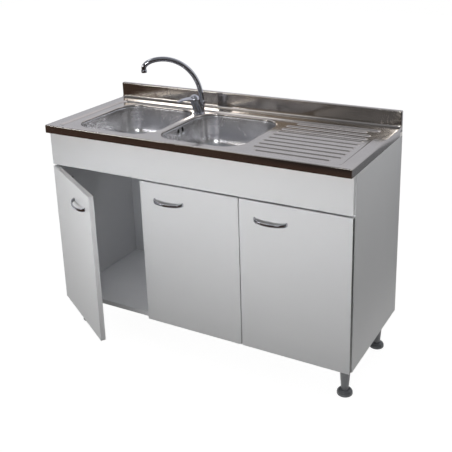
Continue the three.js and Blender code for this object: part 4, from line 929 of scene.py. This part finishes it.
# Each door: where its hinge line stands, how far it is swung, and the handle's way from that line.
HANDLES = {
    "left": (4.0, -31.6, 287.2), "middle": (795.8, 0.0, -274.2), "right": (1196.0, 0.0, -278.3)
}
for side, (hinge_x, swing, along) in HANDLES.items():
    turn = rotation("Z", swing)
    place = turn @ np.array([along, -PLAY, 0.0]) + [hinge_x, FRONT_Y, HANDLE_Z]
    piece(f"{side}_handle_bow", [placed(bow, turn, place)], [f"{side}_handle"], CHROME)

# %% [markdown]
# ## Legs and feet
#
# The legs are moulded tubes that taper to an ankle, with a flared top. Each domed foot ends in a
# screw that runs in the leg, so the unit can be levelled.

# %% Legs and feet
LEG_INSET, FRONT_LEGS, REAR_LEGS = 45, 100, 430
leg_section = softened([
    (7.0, 20.3), (13.0, 20.3), (20.5, 118.4), (24.5, 124.4), (24.5, 126.4), (15.3, 126.4),
    (15.3, 112.1), (7.0, 112.1),
], 1.5, closed=True)
dome_rise = [13.0, 6.7] + arc((0, 0), 1.0, 0, 90, 12) * [14.5, 13.3]
foot_section = np.vstack([
    softened([(0, 0), (25.5, 0), (27.5, 2), (27.5, 6.6)], 1.0), dome_rise,
    softened([(6.5, 20), (6.5, 90), (0, 90)], 1.0),
])
for end, y in (("front", FRONT_LEGS), ("rear", REAR_LEGS)):
    for side, x in zip(SIDES, (LEG_INSET, WIDTH - LEG_INSET)):
        leg, foot = (turned(part, (x, y, 0), 64) for part in (leg_section, foot_section))
        piece(f"{end}_{side}_leg_moulded", [leg], [f"{end}_{side}_leg"], LEG_PLASTIC)
        piece(f"{end}_{side}_foot_moulded", [foot], [f"{end}_{side}_foot"], FOOT_PLASTIC)

# %% [markdown]
# ## Camera
#
# The camera's place and lens were worked out from the edges of the unit in the photograph: it
# looks from the front right, a little down, and the picture was cropped below its middle.

# %% Camera
PHOTO_SIZE, FOCAL_PIXELS, OPTICAL_ROW = 452, 761.27, 150.0
azimuth, elevation, roll = (math.radians(value) for value in (29.992, 17.751, -1.741))
level = np.array([math.cos(azimuth), math.sin(azimuth), 0.0])
inward = np.array([-math.sin(azimuth), math.cos(azimuth), 0.0])
forward = inward * math.cos(elevation) - [0.0, 0.0, math.sin(elevation)]
upright = np.cross(level, forward)
pose = np.eye(4)
pose[:3, 0] = math.cos(roll) * level + math.sin(roll) * upright
pose[:3, 1] = -math.sin(roll) * level + math.cos(roll) * upright
pose[:3, 2] = -forward
pose[:3, 3] = metres([1938.3, -2020.1, 1600.9])
lens = bpy.data.cameras.new("camera")
camera = into_scene("camera", lens)
camera.matrix_world = Matrix(pose.tolist())
lens.sensor_width = 36.0
lens.lens = FOCAL_PIXELS / PHOTO_SIZE * lens.sensor_width
lens.shift_y = (OPTICAL_ROW - PHOTO_SIZE / 2) / PHOTO_SIZE
bpy.context.scene.camera = camera
print("lens:", round(lens.lens, 2), "mm, shift:", round(lens.shift_y, 4))

# %% [markdown]
# ## Floor and surroundings
#
# A product studio has a white floor and backdrop behind the object and a dark room on the
# photographer's side. Chrome and steel need both: without the dark side they have no contrast.
# The floor is pale paint that shows as white to the camera and in reflections, and still takes the
# unit's shadow. The dark side is cloth that only reflections see, so it takes no light away. Two
# bright panes above the front edge are seen in the bowls as the white patches of a studio window.


# %% Studio surfaces
def seen_or_lighting(tree, seen, lighting):
    """Camera, mirrored and transmitted rays meet the first shader, and all others the second: the
    share of the first is the largest of the three rays' marks, which are 0 or 1."""
    rays = add(tree, "LightPath").outputs
    share = rays["Is Camera Ray"]
    for other in ("Is Glossy Ray", "Is Transmission Ray"):
        share = add(tree, "Math", {"operation": "MAXIMUM"}, i0=share, i1=rays[other])
    return add(tree, "MixShader", i0=share, i1=lighting, i2=seen)


def floor_paint():
    """What shows is a white glow plus a part of lit white paint, so that a shadow stays visible:
    0.73 of the glow and 0.27 of the paint."""
    material, tree = empty_material("floor_paint_pale")
    paint = add(tree, "BsdfDiffuse", Color=linear("#8e8a82"))
    white = add(tree, "BsdfDiffuse", Color=linear("#f2f2f2"))
    glow = add(tree, "Emission", Color=linear("#ffffff"), Strength=1.29)
    shown = add(tree, "MixShader", i0=0.73, i1=white, i2=glow)
    add(tree, "OutputMaterial", Surface=seen_or_lighting(tree, shown, paint))
    return material


def lit_cloth(name, low, high, strength):
    """Cloth lit from behind: its colour goes from one to the other between heights of 1.0 and
    2.2 m, which lie above the worktop."""
    material, tree = empty_material(name)
    place = add(tree, "TexCoord").outputs["Object"]
    height = add(tree, "SeparateXYZ", Vector=place).outputs["Z"]
    share = add(tree, "MapRange", Value=height, From_Min=1.0, From_Max=2.2)
    hue = add(tree, "ValToRGB", {"stops": [(0.0, low), (1.0, high)]}, Fac=share)
    light = add(tree, "Emission", Color=hue, Strength=strength)
    add(tree, "OutputMaterial", Surface=light)
    return material


def stage_sheet(name, corners, material):
    """One flat four-cornered sheet, in metres, which is part of the studio and not of the unit."""
    mesh = bpy.data.meshes.new(name)
    mesh.from_pydata(corners, [], [(0, 1, 2, 3)])
    mesh.materials.append(material)
    made = into_scene(name, mesh)
    return made


# %% Floor, cloths and window panes
STUDIO_HIGH, ON_FLOOR, UNDER_FEET, FLOOR_HALF = 3, 0.002, -0.0005, 9
PANE_Y, PANE_LOW, PANE_HIGH = -1.6, 1.56, 1.84
CLOTH_GLOW, PANE_GLOW = 1.0, 13.0


def level_sheet(near, far, z):
    """A rectangle at one height, between two opposite corners in the plan."""
    return [(*near, z), (far[0], near[1], z), (*far, z), (near[0], far[1], z)]


def upright_sheet(start, end, low=0, high=STUDIO_HIGH):
    """A sheet between two heights, over a line from one point of the plan to another."""
    return [(*start, low), (*end, low), (*end, high), (*start, high)]


floor_plan = level_sheet((-FLOOR_HALF, -FLOOR_HALF), (FLOOR_HALF, FLOOR_HALF), UNDER_FEET)
stage_sheet("studio_floor", floor_plan, floor_paint())
CLOTH = {
    "carpet": ("#4e3d36", "#4e3d36", level_sheet((-4, -3), (4, -0.75), ON_FLOOR)),
    "front_left": ("#4a3c33", "#b5a797", upright_sheet((-5, -3), (-1.2, -3))),
    "front_right": ("#2e2826", "#6c6a68", upright_sheet((-1.2, -3), (4, -3))),
    "side_floor": ("#77797d", "#77797d", level_sheet((0.8, -0.7), (4, 3), ON_FLOOR)),
    "left": ("#2c2522", "#84827f", upright_sheet((-5, -3), (-5, 1))),
    "right": ("#3a3836", "#84827f", upright_sheet((4, -3), (4, 1))),
    "ceiling": ("#8e9094", "#8e9094", level_sheet((-5, -3), (4, 1), STUDIO_HIGH)),
    "back": ("#c4c6cd", "#d6d8e0", upright_sheet((-5, 3), (4, 3))),
    "rear_ceiling": ("#f2f2fa", "#f2f2fa", level_sheet((-5, 1), (4, 3), STUDIO_HIGH)),
}
for place, x0, x1 in (("left_window", -2.0, -1.2), ("right_window", 0.05, 0.6)):
    pane = upright_sheet((x0, PANE_Y), (x1, PANE_Y), PANE_LOW, PANE_HIGH)
    CLOTH[place] = ("#ffffff", "#ffffff", pane)
for place, (low, high, corners) in CLOTH.items():
    glow = PANE_GLOW if "window" in place else CLOTH_GLOW
    finish = lit_cloth(f"cloth_{place}", low, high, glow)
    cloth = stage_sheet(f"studio_{place}_cloth", corners, finish)
    cloth.visible_camera = cloth.visible_diffuse = cloth.visible_shadow = False
    cloth.visible_transmission = cloth.visible_volume_scatter = False
print("studio sheets:", 1 + len(CLOTH))

# %% [markdown]
# ## Light
#
# A long soft lamp in front lights the fascia and the doors, and its narrow spread lets the light
# fade towards their lower edges. A weaker one lights the side panel, and a broad one stands over
# the top. A weak one inside the cabinet shows its boards through the open door. Only the lamp over
# the top is mirrored in the steel. The white surroundings fill the shadows at a plain level.


# %% Lamps and world
def soft_lamp(name, place, target, size, watts, spread=180, mirrored=True):
    """A rectangular lamp at a place in metres, turned so that its face looks at the target."""
    lamp = bpy.data.lights.new(name, "AREA")
    lamp.shape, lamp.size, lamp.size_y, lamp.energy = "RECTANGLE", *size, watts
    made = into_scene(name, lamp)
    made.location = place
    made.rotation_mode = "QUATERNION"
    made.rotation_quaternion = Vector(np.subtract(target, place)).to_track_quat("-Z", "Y")
    lamp.spread = math.radians(spread)
    made.visible_camera = False
    made.visible_glossy = mirrored


soft_lamp("front_softbox", (0.1, -1.4, 0.72), (0.1, 0, 0.72), (1.8, 0.3), 3.35, 75, mirrored=False)
soft_lamp("side_softbox", (1.9, 0.1, 1.0), (0.6, 0.1, 1.0), (0.4, 0.3), 0.7, 76, mirrored=False)
soft_lamp("top_softbox", (-0.8, -0.1, 2.4), (-0.4, 0.1, 0.8), (1.4, 0.35), 1.8)
soft_lamp("cabinet_lamp", (-0.48, -0.07, 0.52), (0.0, 0.25, 0.42), (0.1, 0.3), 0.3, mirrored=False)

WORLD_LIGHT, WORLD_SHOWN = 0.32, 1.0
world = bpy.data.worlds.new("studio")
bpy.context.scene.world = world
world.use_nodes = True
tree = world.node_tree
tree.nodes.clear()
soft, white = (
    add(tree, "Background", Color=linear("#ffffff"), Strength=level)
    for level in (WORLD_LIGHT, WORLD_SHOWN)
)
add(tree, "OutputWorld", Surface=seen_or_lighting(tree, white, soft))
bpy.context.scene.view_settings.view_transform = "Standard"
print("lamps: 4, world light", WORLD_LIGHT, "shown as", WORLD_SHOWN)
